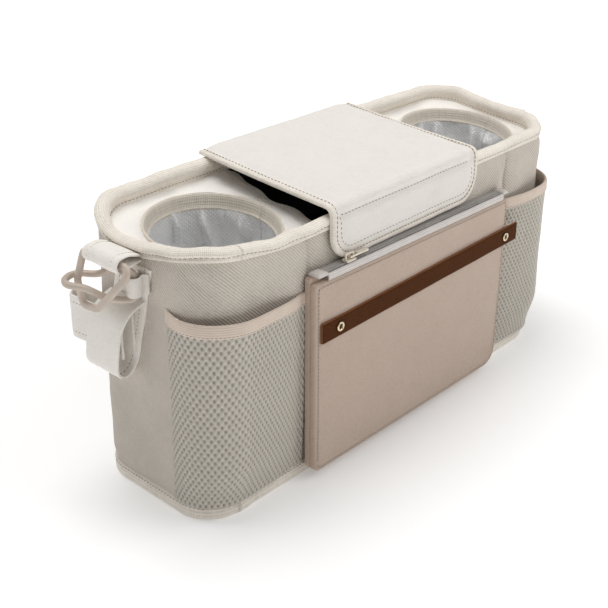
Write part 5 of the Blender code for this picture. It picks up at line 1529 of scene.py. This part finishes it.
def build_straps(side_name):
    side = STRAP_SIDES[side_name]
    eye = 0.0024 + GAP * 4 + 0.0006
    top_z = BAR_Z - 0.0035
    wall = max(end_out(side, y, top_z) for y in (-0.005, 0.013, 0.031)) + GAP + 0.0006
    path = [(wall, top_z), (mix(wall, BAR_OUT, 0.55), BAR_Z + eye * 0.55)]
    for k in range(9):
        angle = math.radians(105 - 210 * k / 8)
        path.append((BAR_OUT + eye * 1.12 * math.cos(angle), BAR_Z + eye * 1.12 * math.sin(angle)))
    path.append((mix(wall, BAR_OUT, 0.55), BAR_Z - eye * 1.1))
    path.append((wall, top_z - 0.0030))

    def tab_place(here, moved, share):
        t = clamp((here[0] - wall) / (BAR_OUT - wall))
        centre = mix(0.013, 0.0010, t)
        width = mix(0.036, 0.0335, t)
        return moved[0], centre + (share - 0.5) * width, moved[1]

    band("cloth_strap_tab_" + side_name, side, path, 0.0016, tab_place, 26, 41, ("strap_tab_" + side_name,))

    def inner_limb(z):
        return (half_sizes(z)[0] - HALF_LENGTH + GAP + 0.0010, z)

    path = [inner_limb(mix(0.1715, 0.1075, k / 3)) for k in range(4)]
    middle = (path[-1][0] + 0.0200) / 2
    half = (0.0200 - path[-1][0]) / 2
    for k in range(1, 8):
        angle = math.radians(180 + 180 * k / 8)
        path.append((middle + half * math.cos(angle), 0.0925 + 0.015 * (1 + math.sin(angle))))
    join = inner_limb(0.149)[0] + 0.0024
    path += [(0.0205, 0.1264), (mix(0.0200, join, 0.08), 0.1377), (mix(0.0200, join, 0.50), 0.1456),
             (join, 0.1485)]

    def loop_place(here, moved, share):
        centre = 0.0030 + 0.27 * (0.1715 - here[1])
        return moved[0], centre + (share - 0.5) * 0.033, moved[1]

    band("cloth_strap_loop_" + side_name, side, path, 0.0021, loop_place, 26, 43,
         ("strap_loop_" + side_name,))

    middle = (0.0045 + 0.0145) / 2
    half = (0.0145 - 0.0045) / 2
    path = [(0.0047, 0.005), (0.0048, 0.037)]
    for k in range(1, 8):
        angle = math.radians(180 - 180 * k / 8)
        path.append((middle + half * 1.6 * math.cos(angle), 0.059 - 0.009 * (1 - math.sin(angle))))
    path += [(0.0145, 0.037), (0.0145, 0.005)]

    def tail_place(here, moved, share):
        return moved[0], moved[1], 0.108 + 0.031 * share

    band("cloth_strap_tail_" + side_name, side, path, 0.0018, tail_place, 26, 45,
         ("strap_tail_" + side_name,))

    eye = 0.0021 * 1.42 + GAP * 2 + 0.0008
    root = inner_limb(0.1625)[0] + 0.0016
    path = [(root, -0.0125), (root + 0.0008, -0.0100)]
    for k in range(9):
        angle = math.radians(-155 + 310 * k / 8)
        path.append((0.0105 + eye * 1.1 * math.cos(angle), -0.0070 + eye * 1.1 * math.sin(angle)))
    path += [(root + 0.0008, -0.0040), (root, -0.0015)]

    def hook_place(here, moved, share):
        return moved[0], moved[1], 0.1625 + (share - 0.5) * 0.013

    band("cloth_hook_tab_" + side_name, side, path, 0.0013, hook_place, 12, 47, ("hook_tab_" + side_name,),
         seams=(0.2, 0.8))


# Hard pieces keep their solids and get rounder edges and real finishes

def dress(name, material, levels=0, bevel=0.0):
    node = NODES[name]
    if node.material_slots:
        node.material_slots[0].material = material
    else:
        node.data.materials.append(material)
    weld = node.modifiers.new("weld", "WELD")
    weld.merge_threshold = 0.00001
    if bevel:
        edge = node.modifiers.new("edge", "BEVEL")
        edge.width = bevel
        edge.segments = 2
        edge.limit_method = "ANGLE"
        edge.angle_limit = math.radians(35)
        edge.harden_normals = True
    if levels:
        soft = node.modifiers.new("soft", "SUBSURF")
        soft.levels = levels
        soft.render_levels = levels
    for polygon in node.data.polygons:
        polygon.use_smooth = True


def build_hard():
    for side_name in STRAP_SIDES:
        dress("d_ring_" + side_name, PLASTIC, 2)
        dress("snap_hook_" + side_name, PLASTIC, 2)
        dress("eyelet_" + side_name, BRASS, 1)
    dress("zip_slider", ZIP_METAL, bevel=0.0003)
    dress("zip_pull", ZIP_METAL, bevel=0.0003)
    dress("flap_hook_tape", TAPE)
    dress("panel_loop_tape", TAPE)


# Room, light and camera

def build_stage():
    mesh = bpy.data.meshes.new("studio_floor")
    size = 14.0
    mesh.from_pydata([(-size, -size, -0.0002), (size, -size, -0.0002), (size, size, -0.0002),
                      (-size, size, -0.0002)],
                     [], [(0, 1, 2, 3)])
    floor_material, tree, shader = new_material("studio_white", 0.8, specular=0.1)
    vector = object_vector(tree)
    tone = noise_node(tree, vector, 0.4, 2.0)
    tree.links.new(ramp(tree, tone, [(0.0, (0.93, 0.93, 0.93)), (1.0, (0.95, 0.95, 0.95))]),
                   shader.inputs["Base Color"])
    shader.inputs["Emission Color"].default_value = (1.0, 1.0, 1.0, 1.0)
    distance = add_node(tree, "ShaderNodeVectorMath", {0: vector}, operation="LENGTH").outputs["Value"]
    glow = math_node(tree, "ADD", math_node(tree, "MULTIPLY", math_node(tree, "MINIMUM", distance, 1.2),
                                            0.62), 0.11)
    tree.links.new(glow, shader.inputs["Emission Strength"])
    mesh.materials.append(floor_material)
    floor = bpy.data.objects.new("studio_floor", mesh)
    bpy.context.scene.collection.objects.link(floor)
    world = bpy.data.worlds.new("studio_world")
    world.use_nodes = True
    background = world.node_tree.nodes["Background"]
    background.inputs["Color"].default_value = (1.0, 1.0, 1.0, 1.0)
    background.inputs["Strength"].default_value = 0.27
    bpy.context.scene.world = world
    for name, place, aim, size, power in (
        ("key", (0.55, -0.75, 0.95), (0.0, 0.0, 0.1), 0.8, 4.4),
        ("top", (-0.15, 0.30, 1.5), (0.0, 0.0, 0.1), 0.9, 12.4),
    ):
        light = bpy.data.lights.new(name, "AREA")
        light.shape = "SQUARE"
        light.size = size
        light.energy = power
        lamp = bpy.data.objects.new(name, light)
        bpy.context.scene.collection.objects.link(lamp)
        lamp.location = place
        lamp.rotation_euler = (Vector(aim) - Vector(place)).to_track_quat("-Z", "Y").to_euler()


FOCAL_PIXELS, IMAGE_PIXELS = 1044.6, 608


def build_camera():
    azimuth, elevation = math.radians(-46.8556), math.radians(26.3599)
    back = Vector((math.sin(azimuth) * math.cos(elevation), -math.cos(azimuth) * math.cos(elevation),
                   math.sin(elevation)))
    right = Vector((math.cos(azimuth), math.sin(azimuth), 0.0))
    up = back.cross(right)
    data = bpy.data.cameras.new("photo_camera")
    data.sensor_fit = "HORIZONTAL"
    data.sensor_width = 36.0
    data.lens = FOCAL_PIXELS / IMAGE_PIXELS * data.sensor_width
    data.clip_start = 0.01
    data.clip_end = 60.0
    camera = bpy.data.objects.new("photo_camera", data)
    bpy.context.scene.collection.objects.link(camera)
    turn = Matrix((right, up, back)).transposed().to_4x4()
    camera.matrix_world = Matrix.Translation(Vector((-0.0422, 0.0, 0.0906)) + back * 0.7742) @ turn
    bpy.context.scene.camera = camera


build_camera()
build_stage()
build_walls()
build_bottom()
build_base_binding()
build_rim()
build_lining()
for strap_side in STRAP_SIDES:
    build_deck(strap_side)
    build_collar(strap_side)
    build_liner(strap_side)
    build_pocket(strap_side)
    build_straps(strap_side)
build_lid()
build_lid_binding()
build_lid_root()
build_pouch()
build_zip()
build_strip()
build_hard()

bpy.context.scene.view_settings.view_transform = "Standard"
